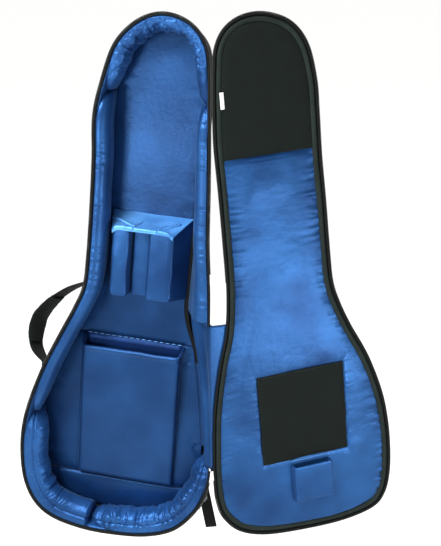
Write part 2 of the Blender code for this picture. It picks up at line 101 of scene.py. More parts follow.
def noise(x, y, seed=0):
    """Smooth noise from -1 to 1 with a cell size of 1; arrays in, array out."""
    x, y = np.broadcast_arrays(np.asarray(x, float) + 17.31 * seed,
                               np.asarray(y, float) + 41.73 * seed)
    i, j = np.floor(x).astype(int), np.floor(y).astype(int)
    fx, fy = x - i, y - j
    fx, fy = fx ** 3 * (fx * (fx * 6 - 15) + 10), fy ** 3 * (fy * (fy * 6 - 15) + 10)

    def corner(a, b):
        return TABLE[(i + a) % 256, (j + b) % 256]

    low = corner(0, 0) * (1 - fx) + corner(1, 0) * fx
    high = corner(0, 1) * (1 - fx) + corner(1, 1) * fx
    return low * (1 - fy) + high * fy


def folds(along, across, pitch, reach, seed, sharp=0.65):
    """Rounded lobes from 0 to about 1 with creases between them that run across."""
    warp = 0.8 * noise(along / (pitch * 3), across / (reach * 0.6), seed + 1)
    field = noise(along / pitch + warp, across / reach, seed)
    return np.abs(field) ** sharp


def near(distance, width):
    """1 at a line, falling to 0 over about width."""
    return np.exp(-(np.asarray(distance) / width) ** 2)


def smooth_step(x, low, high):
    t = np.clip((x - low) / (high - low), 0.0, 1.0)
    return t * t * (3 - 2 * t)


# ---- materials ----
def linear(r, g, b):
    """An sRGB colour from 0 to 255 in linear light."""
    def channel(c):
        c /= 255
        return c / 12.92 if c <= 0.04045 else ((c + 0.055) / 1.055) ** 2.4
    return (channel(r), channel(g), channel(b), 1.0)


class Nodes:
    """A short way to write one material's node tree."""

    def __init__(self, name):
        self.material = bpy.data.materials.new(name)
        self.material.use_nodes = True
        self.tree = self.material.node_tree
        self.shader = self.tree.nodes["Principled BSDF"]

    def add(self, kind, inputs=None, **settings):
        node = self.tree.nodes.new("ShaderNode" + kind)
        for key, value in settings.items():
            setattr(node, key, value)
        for key, value in (inputs or {}).items():
            self.plug(value, node.inputs[key])
        return node

    def plug(self, value, socket):
        if isinstance(value, bpy.types.NodeSocket):
            self.tree.links.new(value, socket)
        else:
            socket.default_value = value

    def math(self, operation, a, b=0.0, c=0.0):
        return self.add("Math", {0: a, 1: b, 2: c}, operation=operation).outputs[0]

    def noise(self, place, scale, detail, roughness):
        return self.add("TexNoise", {"Vector": place, "Scale": scale, "Detail": detail,
                                     "Roughness": roughness}).outputs[0]

    def finish(self, tone, dark, light, rough, height, distance, strength, **inputs):
        """Colour between two sRGB tones, roughness and bump; returns the material."""
        inputs["Base_Color"] = self.add("Mix", {0: tone, 6: linear(*dark), 7: linear(*light)},
                                        data_type="RGBA").outputs[2]
        bump = self.add("Bump", {"Height": height, "Distance": distance, "Strength": strength})
        for key, value in dict(inputs, Roughness=rough, Normal=bump.outputs[0]).items():
            self.plug(value, self.shader.inputs[key.replace("_", " ")])
        return self.material


def woven(name, dark, light, roughness, thread, height, patches=18.0, **shader):
    """Cloth with a plain weave of that thread pitch, mottled between two colours.

    The weave follows the UV map, which is in metres; patches is the mottling's scale.
    """
    n = Nodes(name)
    place = n.add("TexCoord").outputs
    uv = n.add("SeparateXYZ", {0: place["UV"]}).outputs
    warp, weft = (n.math("SINE", n.math("MULTIPLY", uv[k], 2 * math.pi / thread)) for k in (0, 1))
    weave = n.math("MULTIPLY", warp, weft)
    blotch = n.noise(place["Object"], patches, 3.0, 0.55)
    grain = n.noise(place["UV"], 1.2 / thread, 2.0, 0.6)
    tone = n.math("MULTIPLY_ADD", grain, 0.25, n.math("MULTIPLY", blotch, 0.75))
    tone = n.math("MULTIPLY_ADD", weave, 0.06, tone)
    tone = n.add("MapRange", {0: tone, 1: 0.25, 2: 0.75}).outputs[0]
    rough = n.math("MULTIPLY_ADD", tone, 0.1, roughness - 0.05)
    return n.finish(tone, dark, light, rough, n.math("MULTIPLY_ADD", grain, 0.6, weave), height,
                    0.8, Specular_IOR_Level=0.18, **shader)


def satin(name, dark, light, roughness):
    """Polyester satin: fine lengthwise threads, a broad blue gloss and soft mottling."""
    n = Nodes(name)
    place = n.add("TexCoord").outputs
    blotch = n.noise(place["Object"], 9.0, 2.0, 0.5)
    stretch = n.add("Mapping", {"Vector": place["UV"], "Scale": (260.0, 3000.0, 1.0)})
    thread = n.noise(stretch.outputs[0], 1.0, 2.0, 0.7)
    creep = n.noise(place["Object"], 95.0, 3.0, 0.6)
    tone = n.math("MULTIPLY_ADD", thread, 0.25, n.math("MULTIPLY", blotch, 0.75))
    tone = n.add("MapRange", {0: tone, 1: 0.3, 2: 0.7}).outputs[0]
    rough = n.math("MULTIPLY_ADD", thread, 0.12, roughness - 0.06)
    return n.finish(tone, dark, light, rough, n.math("MULTIPLY_ADD", thread, 0.25, creep), 0.001,
                    0.5, Metallic=0.5, Sheen_Weight=0.12, Sheen_Roughness=0.35,
                    Sheen_Tint=(0.45, 0.7, 1.0, 1.0), Anisotropic=0.35,
                    Specular_IOR_Level=0.5, Specular_Tint=(0.42, 0.72, 1.0, 1.0))


def hard(name, dark, light, roughness, scale, height, **shader):
    """Moulded plastic or plated metal, with fine handling marks."""
    n = Nodes(name)
    marks = n.noise(n.add("TexCoord").outputs["Object"], scale, 4.0, 0.65)
    rough = n.math("MULTIPLY_ADD", marks, 0.18, roughness - 0.09)
    return n.finish(marks, dark, light, rough, marks, height, 0.5, **shader)


SATIN = satin("satin_blue", (14, 44, 91), (35, 80, 136), 0.38)
# A lighter copy of the satin for the neck rest's head-end cover: painted light, standing in for
# the highlight on that up-facing end
SATIN_PAINTED_LIGHT = satin("satin_cover_painted_light", (60, 120, 184), (94, 154, 216), 0.44)
SATIN_ROLL = satin("satin_roll", (13, 41, 87), (39, 86, 146), 0.42)
SATIN_FLOOR = satin("satin_floor", (11, 37, 79), (27, 65, 116), 0.36)
# A darker copy of the satin: painted shade inside the document pocket and in the neck rest's tuck
# creases; it also colours the pocket's side stitching
SATIN_SHADE_AND_THREAD = satin("satin_shaded", (12, 32, 76), (20, 50, 108), 0.5)
SATIN_EDGE = satin("satin_thread", (80, 140, 210), (120, 175, 235), 0.45)
SHELL = woven("shell_nylon", (6, 11, 10), (16, 23, 21), 0.8, 0.0011, 0.00014)
PATCH = woven("patch_cloth", (8, 15, 13), (15, 23, 21), 0.92, 0.0008, 0.00008,
              patches=30.0)
BINDING = woven("binding_tape", (15, 24, 22), (30, 41, 38), 0.74, 0.0009, 0.00014,
                patches=40.0)
RIM = woven("rim_tape", (2, 4, 4), (9, 13, 12), 0.7, 0.0009, 0.00012,
            patches=40.0)
WEB = woven("strap_webbing", (3, 5, 4), (11, 15, 14), 0.78, 0.0016, 0.0003,
            patches=30.0)
COIL = hard("zip_coil", (5, 7, 7), (18, 21, 20), 0.5, 300.0, 0.00005)
METAL = hard("zip_metal", (70, 72, 74), (104, 106, 108), 0.28, 260.0, 0.00004,
             Metallic=1.0)
PLASTIC = hard("buckle_plastic", (10, 12, 12), (20, 22, 22), 0.42, 190.0, 0.00006)
LABEL = woven("label_cloth", (214, 214, 208), (240, 240, 236), 0.62, 0.0006,
              0.00006, patches=60.0)
THREAD = woven("sewing_thread", (22, 28, 28), (42, 50, 49), 0.6, 0.0008, 0.0001)


# ---- meshes from grids ----
def grid_normals(grid, ring=False, tube=False):
    padded = grid
    if ring:
        padded = np.concatenate((padded[-1:], padded, padded[:1]), axis=0)
    if tube:
        padded = np.concatenate((padded[:, -1:], padded, padded[:, :1]), axis=1)
    n = np.cross(np.gradient(padded, axis=0), np.gradient(padded, axis=1))
    if ring:
        n = n[1:-1]
    if tube:
        n = n[:, 1:-1]
    n /= np.maximum(np.linalg.norm(n, axis=-1, keepdims=True), 1e-12)
    if tube:
        outward = (n * (grid - grid.mean(axis=1, keepdims=True))).sum(axis=-1)
        return n if outward.mean() > 0 else -n
    return n if n[..., 1].mean() < 0 else -n


def push(grid, height, ring=False, tube=True):
    """The grid moved out along its normals; an open grid's outside faces -Y."""
    return grid + grid_normals(grid, ring, tube) * np.asarray(height)[..., None]


def lengths(points, closed=False):
    """Running length along a row of points, with the closing step if it is closed."""
    if closed:
        points = np.concatenate((points, points[:1]))
    steps = np.linalg.norm(np.diff(points, axis=0), axis=1)
    return np.concatenate(([0.0], np.cumsum(steps)))


class Body:
    """Vertices, faces and UVs of one piece, gathered from several grids."""

    def __init__(self):
        self.verts, self.faces, self.uvs = [], [], []

    def grid(self, grid, ring=False, tube=True):
        n, m = grid.shape[:2]
        base = len(self.verts)
        self.verts.extend(map(tuple, grid.reshape(-1, 3).tolist()))
        u = lengths(grid[:, m // 2], ring)
        v = lengths(grid[n // 2], tube)
        i, j = np.meshgrid(np.arange(n if ring else n - 1), np.arange(m if tube else m - 1),
                           indexing="ij")
        i, j = i.ravel(), j.ravel()
        corners = ((i, j), (i + 1, j), (i + 1, j + 1), (i, j + 1))
        index = base + np.stack([(a % n) * m + b % m for a, b in corners], 1)
        self.faces.extend(index.tolist())
        self.uvs.extend(np.stack([np.stack((u[a], v[b]), 1) for a, b in corners], 1).tolist())
        if tube and not ring:
            for row in (0, n - 1):
                self.faces.append([base + row * m + k for k in range(m)])
                self.uvs.append([(p[0] - p[2], p[1]) for p in grid[row]])
        return self

    def slab(self, front, back):
        """A front grid with a flat back at the depth back."""
        n, m = front.shape[:2]
        base = len(self.verts)
        self.grid(front, tube=False)
        edge = ([(0, j) for j in range(m)] + [(i, m - 1) for i in range(1, n)]
                + [(n - 1, j) for j in range(m - 2, -1, -1)]
                + [(i, 0) for i in range(n - 2, 0, -1)])
        start, size = len(self.verts), len(edge)
        self.verts.extend((front[i, j][0], back, front[i, j][2]) for i, j in edge)
        for k, (i, j) in enumerate(edge):
            i2, j2 = edge[(k + 1) % size]
            self.faces.append([base + i * m + j, base + i2 * m + j2,
                               start + (k + 1) % size, start + k])
            (ax, az), (bx, bz) = front[i, j, ::2], front[i2, j2, ::2]
            self.uvs.append([(ax, az), (bx, bz), (bx, bz + 0.01), (ax, az + 0.01)])
        self.faces.append([start + k for k in range(size)])
        self.uvs.append([tuple(front[i, j, ::2]) for i, j in edge])
        return self

    def mesh(self, name):
        mesh = bpy.data.meshes.new(name)
        mesh.from_pydata(self.verts, [], self.faces)
        layer = mesh.uv_layers.new(name="UVMap")
        flat = [value for face in self.uvs for corner in face for value in corner]
        layer.data.foreach_set("uv", flat)
        bm = bmesh.new()
        bm.from_mesh(mesh)
        bmesh.ops.remove_doubles(bm, verts=bm.verts, dist=2e-6)
        bmesh.ops.recalc_face_normals(bm, faces=bm.faces)
        bm.to_mesh(mesh)
        bm.free()
        return mesh


def ply(grid, front, back):
    """Thin closed cloth between two offsets behind an open grid."""
    n = grid_normals(grid)
    return Body().grid(np.concatenate((grid - n * front, (grid - n * back)[:, ::-1]), axis=1))


def to_mesh(bm, name):
    mesh = bpy.data.meshes.new(name)
    bm.to_mesh(mesh)
    bm.free()
    return mesh


def piece(name, mesh, material, body="tray", nodes=(), space=None, crease=None, pad=None):
    """A finished object on a CAD body, standing for those CAD nodes; pad is not used."""
    if isinstance(mesh, Body):
        mesh = mesh.mesh(name)
    mesh.transform(space or (LID_SPACE if body == "lid" else TRAY_SPACE))
    mesh.polygons.foreach_set("use_smooth", [True] * len(mesh.polygons))
    if crease is not None:
        mesh.set_sharp_from_angle(angle=math.radians(crease))
    mesh.materials.clear()
    mesh.materials.append(material)
    obj = bpy.data.objects.new(name, mesh)
    bpy.context.scene.collection.objects.link(obj)
    if body:
        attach(obj, body)
    if nodes:
        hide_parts(*nodes)
    return obj


# ---- the sewn outline ----
def catmull(a, b, c, d, t):
    """Point at t from 0 to 1 on the smooth curve from b to c."""
    return 0.5 * (2 * b + (c - a) * t + (2 * a - 5 * b + 4 * c - d) * t * t
                  + (3 * b - a - 3 * c + d) * t ** 3)


def resample(points, count, endpoint=True):
    """count evenly spaced points along a row of 2-D points."""
    arc = lengths(points)
    run = np.linspace(0, arc[-1], count, endpoint=endpoint)
    return np.stack([np.interp(run, arc, points[:, k]) for k in (0, 1)], axis=1)


def spline(values, s):
    i = np.floor(s).astype(int)
    return catmull(*(values[(i + k) % COUNT] for k in (-1, 0, 1, 2)), s - i)


class Rim:
    """The outline of one half, which everything sewn along it follows."""

    def __init__(self, half):
        self.sign = -1.0 if half == "tray" else 1.0
        self.dist = OUTLINE[:, 0 if half == "tray" else 1]
        self.inset = OUTLINE[:, 3] if half == "tray" else np.full(COUNT, LID_DRAFT)

    def points(self, s):
        x = self.sign * (spline(self.dist, s) + HINGE_GAP)
        return np.stack((x, spline(OUTLINE[:, 2], s)), axis=-1)

    def even(self, start, end, step):
        """Stations a step apart from start to end, and their distance from the start."""
        if end <= start:
            end += COUNT
        dense = np.linspace(start, end, 4000)
        arc = lengths(self.points(dense))
        run = np.linspace(0.0, arc[-1], max(6, round(arc[-1] / step)) + 1)
        return np.interp(run, arc, dense), run

    def sweep(self, start, end, step, section):
        """Grid along the rim; section(run, total) gives (inward, depth) arrays.

        run is a column of distances along the rim, and the arrays have a row for each.
        """
        s, run = self.even(start, end, step)
        if end - start == COUNT:
            s, run = s[:-1], run[:-1]
        pos = self.points(s)
        along = self.points(s + 0.05) - self.points(s - 0.05)
        along /= np.linalg.norm(along, axis=1, keepdims=True)
        out = np.stack((along[:, 1], -along[:, 0]), axis=1) * -self.sign
        inset = spline(self.inset, s)
        inward, depth = section(run[:, None], run[-1])
        inward, depth = np.broadcast_arrays(inward, depth)
        draw = inward + inset[:, None] * depth / DEPTH
        grid = np.empty(draw.shape + (3,))
        grid[..., 0] = pos[:, :1] - out[:, :1] * draw
        grid[..., 1] = depth
        grid[..., 2] = pos[:, 1:] - out[:, 1:] * draw
        return grid

    def outline(self, inward, depth, step=0.004):
        grid = self.sweep(0.0, float(COUNT), step,
                          lambda run, total: (np.full_like(run, inward), np.full_like(run, depth)))
        return grid[:, 0][:, [0, 2]]


TRAY, LID = Rim("tray"), Rim("lid")


def loop(points, count):
    """Smooth closed curve through points, as count evenly spaced points."""
    p = np.array(points, float)
    size = len(p)
    s = np.linspace(0, size, 60 * size, endpoint=False)
    i = np.floor(s).astype(int)
    curve = catmull(*(p[(i + k) % size] for k in (-1, 0, 1, 2)), (s - i)[:, None])
    return resample(np.concatenate((curve, curve[:1])), count, False)


def box_loop(x0, x1, y0, y1, radius):
    """Rounded rectangle as a closed row of points."""
    out = []
    for cx, cy, turn in ((x1, y1, 0), (x0, y1, 1), (x0, y0, 2), (x1, y0, 3)):
        sx = -1 if turn in (0, 3) else 1
        sy = -1 if turn in (0, 1) else 1
        for angle in np.linspace(turn, turn + 1, 5) * math.pi / 2:
            out.append((cx + sx * radius + radius * math.cos(angle),
                        cy + sy * radius + radius * math.sin(angle)))
    return np.array(out)


def plain_section(points):
    points = np.array(points)
    return lambda run, total: (points[None, :, 0] + 0 * run, points[None, :, 1] + 0 * run)


def upright(rim):
    """Unit vectors up and across one half's leaning centre line."""
    lean = -rim.sign * math.sin(TILT)
    return np.array((lean, math.cos(TILT))), np.array((math.cos(TILT), -lean))


def scan(rim, inward, depth, low, high, step, columns):
    """Rows across the outline between two leaning heights.

    Returns x-z points, the running height and the distance to the left and right edges.
    """
    up, across = upright(rim)
    outline = rim.outline(inward, depth)
    u, v = outline @ across, outline @ up
    u2, v2 = np.roll(u, -1), np.roll(v, -1)
    low, high = max(low, v.min() + 0.0006), min(high, v.max() - 0.0006)
    heights = np.linspace(low, high, max(2, round((high - low) / step)) + 1)
    fraction = 0.5 - 0.5 * np.cos(np.linspace(0, math.pi, columns))
    fraction = 0.35 * fraction + 0.65 * np.linspace(0, 1, columns)
    rows = []
    for h in heights:
        cross = (v - h) * (v2 - h) < 0
        hits = u[cross] + (u2[cross] - u[cross]) * (h - v[cross]) / (v2[cross] - v[cross])
        lo, hi = hits.min(), hits.max()
        rows.append(lo + (hi - lo) * fraction)
    rows = np.array(rows)
    flat = rows[..., None] * across + heights[:, None, None] * up
    return flat, heights[:, None] + 0 * rows, rows - rows[:, :1], rows[:, -1:] - rows


def with_depth(flat, depth):
    return np.stack((flat[..., 0], depth + 0 * flat[..., 0], flat[..., 1]), axis=-1)


# ---- the tray's shell ----
def crowned_panel(name, rim, body, node, place, base, crown, edge, ripple, seams, seam, back):
    """An outer panel over the whole outline, with a crown, ripples and cross seams."""
    flat, height, left, right = scan(rim, *place, 0.0, 2.0, 0.006, 60)
    side = np.minimum(np.minimum(left, right), 0.05)
    side = np.minimum(side, np.minimum(height - height.min(), height.max() - height))
    depth = base + crown * (1 - np.exp(-side / edge))
    depth += ripple[0] * noise(flat[..., 0] / 0.06, flat[..., 1] / 0.06, ripple[1])
    for at in seams:
        depth -= seam[0] * near(height - at, seam[1])
    piece(name, Body().slab(with_depth(flat, depth), back), SHELL, body, [node], pad=0.5)


def piping(name, rim, body, inward, depth, radius):
    """Round cord sewn in along the whole outline."""
    section = loop([(inward + radius * math.cos(a), depth + radius * math.sin(a))
                    for a in np.linspace(0, 2 * math.pi, 8, endpoint=False)], 12)
    grid = rim.sweep(0.0, float(COUNT), 0.004, plain_section(section))
    piece(name, Body().grid(grid, ring=True), BINDING, body)


def tray_shell():
    section = loop_subdivide(box_loop(0.0, SKIN, 0.0046, DEPTH - 0.005, 0.0016), 0.006)
    for part, start, end in (("head", HEAD_NEAR + 1.0, 3.0), ("neck", 3.0, 9.0),
                             ("bout", 9.0, 14.0), ("foot", 14.0, 19.5),
                             ("foot_corner", 19.5, HINGE_FOOT),
                             ("near", HINGE_HEAD, HEAD_NEAR + 1.0)):
        grid = TRAY.sweep(start + 0.003, end - 0.003, 0.006, plain_section(section))
        run = lengths(grid[:, 0])[:, None]
        depth = grid[..., 1]
        belly = np.sin(np.clip((depth - 0.0046) / 0.0908, 0, 1) * math.pi)
        swell = 0.0022 * belly + 0.0007 * noise(run / 0.05, depth / 0.04, 3)
        swell -= 0.0016 * (near(run, 0.004) + near(run - run[-1], 0.004))
        grid = push(grid, np.where(section[None, :, 0] < 0.001, swell, 0.0))
        piece("shell_" + part, Body().grid(grid), SHELL, "tray", ["side_wall_" + part], pad=0.8)


def loop_subdivide(points, step):
    """More points along the long sides of a closed section."""
    out = []
    for a, b in zip(points, np.roll(points, -1, axis=0)):
        parts = max(1, round(np.linalg.norm(b - a) / step))
        out.extend(a + (b - a) * k / parts for k in range(parts))
    return np.array(out)


def back_panel():
    crowned_panel("back_panel_cloth", TRAY, "tray", "back_panel", (0.0012, DEPTH - 0.003),
                  DEPTH - 0.0034, 0.003, 0.012, (0.0006, 5), (0.315, 0.7), (0.0022, 0.003),
                  DEPTH - 0.0046)
    piping("back_piping", TRAY, "tray", 0.0026, DEPTH - 0.0052, 0.0028)


def rim_and_zip(rim, name, binding_span, coil_span, nodes):
    """Folded binding on the rim, and the zip's coil with its separate turns."""
    section = loop([(-0.0012, 0.0024), (0.0002, 0.0008), (0.002, 0.0006), (0.0031, 0.0018),
                    (0.0029, 0.004), (0.001, 0.005)], 16)
    grid = rim.sweep(*binding_span, 0.004, plain_section(section))
    ring = binding_span[1] - binding_span[0] == COUNT
    run = lengths(grid[:, 0])[:, None]
    grid = push(grid, 0.00025 * noise(run / 0.012, grid[..., 1] * 0, 8), ring=ring)
    piece(name + "_binding", Body().grid(grid, ring=ring), RIM, name, nodes[:1])
    section = loop([(-0.001, 0.0024), (-0.0018, 0.001), (-0.003, 0.0014), (-0.0033, 0.0028),
                    (-0.002, 0.0038)], 8)
    grid = rim.sweep(*coil_span, 0.0007, plain_section(section))
    turn = np.cos(lengths(grid[:, 0])[:, None] / 0.0028 * 2 * math.pi + 0 * grid[..., 1])
    piece(name + "_coil", Body().grid(push(grid, 0.00035 * turn - 0.00005)), COIL, name, nodes[1:])


# ---- padding along the tray's wall ----
def wall_pad(name, span, thick, ends, shape, node, look, fill, material, step):
    """A stuffed roll between two stations.

    shape lists (share of the thickness, depth); look(run, total, share, depth) is how far
    the cloth stands off the plain roll at each point.
    """
    section = loop(shape, 44)
    share, deep = section[None, :, 0], section[None, :, 1]
    span = span[0] + 0.02, span[1] - 0.02
    total = TRAY.even(*span, step)[1][-1]
    middle = 0.045

    def outline(run, total):
        start = np.clip(run / ends[0], 0, 1)
        stop = np.clip((total - run) / ends[1], 0, 1)
        full = np.sqrt(1 - (1 - start) ** 2) * np.sqrt(1 - (1 - stop) ** 2)
        depth = middle + (deep - middle) * (0.55 + 0.45 * full) + 0.012 * (1 - full)
        return SKIN + PAD_CLEAR + share * (0.004 + (thick - 0.004) * full), depth

    grid = TRAY.sweep(*span, step, outline)
    run = lengths(grid[:, 0])
    run = run[:, None] / run[-1] * total
    height = look(run, total, share + 0 * run, deep + 0 * run)
    back = smooth_step(share, -0.03, 0.12) * smooth_step(0.0826 - deep, 0.0, 0.006)
    grid = push(grid, height * back)
    grid[..., 1] = np.clip(grid[..., 1], 0.0014, FLOOR - 0.0004)
    piece(name, Body().grid(grid), material, "tray", [node], pad=fill)


ROLL = [(0.0, 0.03), (0.0, 0.01), (-0.06, 0.0052), (0.0, 0.0028), (0.4, 0.0024),
        (0.78, 0.0072), (0.97, 0.018), (1.0, 0.03), (0.95, 0.043), (0.78, 0.056),
        (0.52, 0.068), (0.24, 0.077), (0.0, 0.08), (0.0, 0.055)]
NEAR_ROLL = ROLL[:4] + [(0.5, 0.0026), (0.86, 0.0058), (1.0, 0.0125), (0.97, 0.022),
                        (0.86, 0.043), (0.66, 0.07), (0.5, 0.08)] + ROLL[-2:]


def ruched(pitch, height, seed, groove=None, calm=None, rim=0.45, sharp=0.65):
    """Gathered cloth: creases that run over the roll, deepest on its inner edge."""
    def look(run, total, share, depth):
        across = depth + share * 0.03
        big = folds(run, across, pitch, 0.07, seed, sharp)
        small = folds(run, across, pitch * 0.45, 0.03, seed + 5)
        force = rim + (1 - rim) * smooth_step(share, 0.3, 0.95)
        patchy = smooth_step(noise(run / 0.07, across / 0.05, seed + 9), -0.5, 0.7)
        force = force * (0.55 + 0.75 * patchy)
        if calm is not None:
            force = force * calm(run, total)
        out = height * force * (big + 0.35 * small - 0.75)
        for turn, wide, seam in ((0.9, 0.026, 7), (-0.7, 0.032, 11)):
            net = noise((run + turn * across) / wide, (across - 0.3 * run) / (wide * 2.2),
                        seed + seam)
            out = out - 0.0026 * force * near(net, 0.085)
        if groove is not None:
            line = np.where(depth < 0.03, share - groove, 1.0)
            out = out - 0.0042 * near(line, 0.05)
        return out
    return look


def ridged(seed, crest):
    """Long smooth ridges, with little puckers where the cloth is sewn to the rim."""
    def look(run, total, share, depth):
        line = depth - crest - 0.004 * noise(run / 0.12, share * 0, seed)
        out = 0.0022 * near(line, 0.01) - 0.0018 * near(line - 0.017, 0.006)
        out = out + 0.001 * noise(run / 0.07, depth / 0.03, seed + 2)
        rim = np.exp(-np.maximum(depth - 0.005, 0) / 0.007)
        pucker = folds(run, depth, 0.007, 0.03, seed + 4)
        patchy = smooth_step(noise(run / 0.05, share * 0, seed + 6), -0.4, 0.5)
        return out + 0.0022 * rim * (pucker - 0.7) * patchy
    return look


def wall_skin():
    """Satin on the inner face of the wall, seen where the rolls draw away from the rim."""
    section = loop([(0.0026, 0.004), (0.0046, 0.0046), (0.0052, 0.02), (0.0052, 0.08),
                    (0.0042, 0.08), (0.0042, 0.03)], 20)
    for name, start, end in (("wall_skin_far", HEAD_NEAR + 0.5, FOOT_SPLIT),
                             ("wall_skin_foot", FOOT_SPLIT, HINGE_FOOT),
                             ("wall_skin_near", HINGE_HEAD, HEAD_NEAR + 0.5)):
        if start > end:
            end += COUNT
        grid = TRAY.sweep(start, end, 0.006, plain_section(section))
        obj = piece(name, Body().grid(grid), SATIN_ROLL)


def tray_padding():
    def head_calm(run, total):
        middle = 1 - np.abs(2 * run / total - 1)
        return 0.45 + 0.7 * smooth_step(middle, 0.25, 0.62)

    def foot_calm(run, total):
        start = 0.35 + 0.65 * smooth_step(run, 0.06, 0.16)
        return start * (0.2 + 0.8 * smooth_step(total - run, 0.05, 0.09))

    head = ruched(0.014, 0.0078, 21, None, head_calm, 0.75)
    far = ruched(0.0125, 0.0096, 51, 0.46, foot_calm, 0.6, 0.55)
    near_foot = ruched(0.0115, 0.009, 61, 0.46, None, 0.6, 0.55)
    for name, span, thick, ends, shape, node, look, fill, material, step in (
            ("head_roll", (HEAD_NEAR, HEAD_FAR), 0.022, (0.085, 0.085), ROLL, "head_bolster",
             head, 0.8, SATIN_ROLL, 0.002),
            ("far_wall_roll", (HEAD_FAR, BOUT_FAR), 0.018, (0.06, 0.085), ROLL, "wall_pad_far",
             ridged(31, 0.022), 0.8, SATIN, 0.0025),
            ("near_wall_roll", (HINGE_HEAD, HEAD_NEAR), 0.019, (0.005, 0.08), NEAR_ROLL,
             "wall_pad_near", ridged(41, 0.024), 0.8, SATIN, 0.0025),
            ("far_foot_roll", (BOUT_FAR, FOOT_SPLIT), 0.036, (0.06, 0.006), ROLL,
             "foot_bolster_far", far, 0.9, SATIN_ROLL, 0.002),
            ("near_foot_roll", (FOOT_SPLIT, HINGE_FOOT), 0.034, (0.07, 0.09), ROLL,
             "foot_bolster_near", near_foot, 0.9, SATIN_ROLL, 0.002)):
        wall_pad(name, span, thick, ends, shape, node, look, fill, material, step)


# ---- the floor ----
def lift(point, rim):
    """Height of an x-z point along one half's leaning centre line."""
    return float(np.dot(point, upright(rim)[0]))


def floor_pad(part, low, high, seed, puff, edge_force):
    flat, height, left, right = scan(TRAY, SKIN + PAD_CLEAR, FLOOR_BACK, low, high, 0.003, 110)
    x, z = flat[..., 0], flat[..., 1]
    seam = np.minimum(height - low, high - height)
    side = np.minimum(left, right)
    depth = FLOOR + 0.001 - puff * (1 - np.exp(-np.minimum(side, 0.2) / 0.03))
    depth = depth + 0.0042 * np.exp(-np.maximum(seam, 0) / 0.006)
    depth = depth - 0.001 * noise(x / 0.11, z / 0.09, seed)
    depth = depth - 0.00012 * noise(x / 0.025, z / 0.02, seed + 1)
    for distance, shift in ((left, 2), (right, 3)):
        tug = folds(height, distance, 0.016, 0.1, seed + shift, 0.5)
        patchy = smooth_step(noise(height / 0.05, 0, seed + shift + 9), -0.3, 0.5)
        fade = np.exp(-np.maximum(distance - 0.012, 0) / 0.014)
        depth = depth - edge_force * fade * (tug - 0.8) * patchy
    tug = folds(x, seam, 0.014, 0.08, seed + 7, 0.5)
    depth = depth - 0.0012 * np.exp(-seam / 0.012) * (tug - 0.8)
    # flat under the document pocket
    dx, dz = x - POCKET_PLACE[0], z - POCKET_PLACE[1]
    across = dx * math.cos(TILT) - dz * math.sin(TILT)
    along = dx * math.sin(TILT) + dz * math.cos(TILT)
    under = smooth_step(-np.maximum(np.abs(across) - 0.1025, np.abs(along) - 0.1575), 0.0, 0.006)
    depth = depth + (np.maximum(depth, FLOOR) - depth) * under
    piece("floor_" + part, Body().slab(with_depth(flat, depth), FLOOR_BACK), SATIN_FLOOR, "tray",
          ["floor_pad_" + part], pad=0.4)


def floor():
    high, low = lift((-0.175, 0.41), TRAY), lift((-0.205, 0.09), TRAY)
    gap = 0.0004
    for part, start, end, seed, puff, force in (("neck", high + gap, 2.0, 71, 0.003, 0.0014),
                                                ("body", low + gap, high - gap, 81, 0.003, 0.0052),
                                                ("foot", -1.0, low - gap, 91, 0.004, 0.0026)):
        floor_pad(part, start, end, seed, puff, force)


# ---- boxes wrapped in cloth ----
def soft_box(size, radius, cuts, shape=None):
    """Rounded box of that size, cut finely; shape(real, x, y, z) may then move its points.

    x, y and z run from -1 to 1 over the box.
    """
    bm = bmesh.new()
    bmesh.ops.create_cube(bm, size=2.0)
    bmesh.ops.subdivide_edges(bm, edges=bm.edges, cuts=cuts, use_grid_fill=True)
    co = np.array([v.co[:] for v in bm.verts])
    half = np.array(size) / 2
    # crowd the cuts towards the edges, where the cloth turns
    co = np.sign(co) * (1 - (1 - np.abs(co)) ** 1.35)
    core = np.clip(co * half, radius - half, half - radius)
    away = co * half - core
    reach = np.linalg.norm(away, axis=1, keepdims=True)
    real = core + away * np.minimum(1.0, radius / np.maximum(reach, 1e-9))
    if shape is not None:
        shape(real, *co.T)
    for v, p in zip(bm.verts, real):
        v.co = p
    layer = bm.loops.layers.uv.new("UVMap")
    bm.normal_update()
    for face in bm.faces:
        axis = max(range(3), key=lambda k: abs(face.normal[k]))
        pick = [k for k in range(3) if k != axis]
        for corner in face.loops:
            corner[layer].uv = (corner.vert.co[pick[0]], corner.vert.co[pick[1]])
    return to_mesh(bm, "soft_box")


def at_place(x, y, z, tilt):
    return Matrix.Translation((x, y, z)) @ Matrix.Rotation(tilt, 4, "Y")


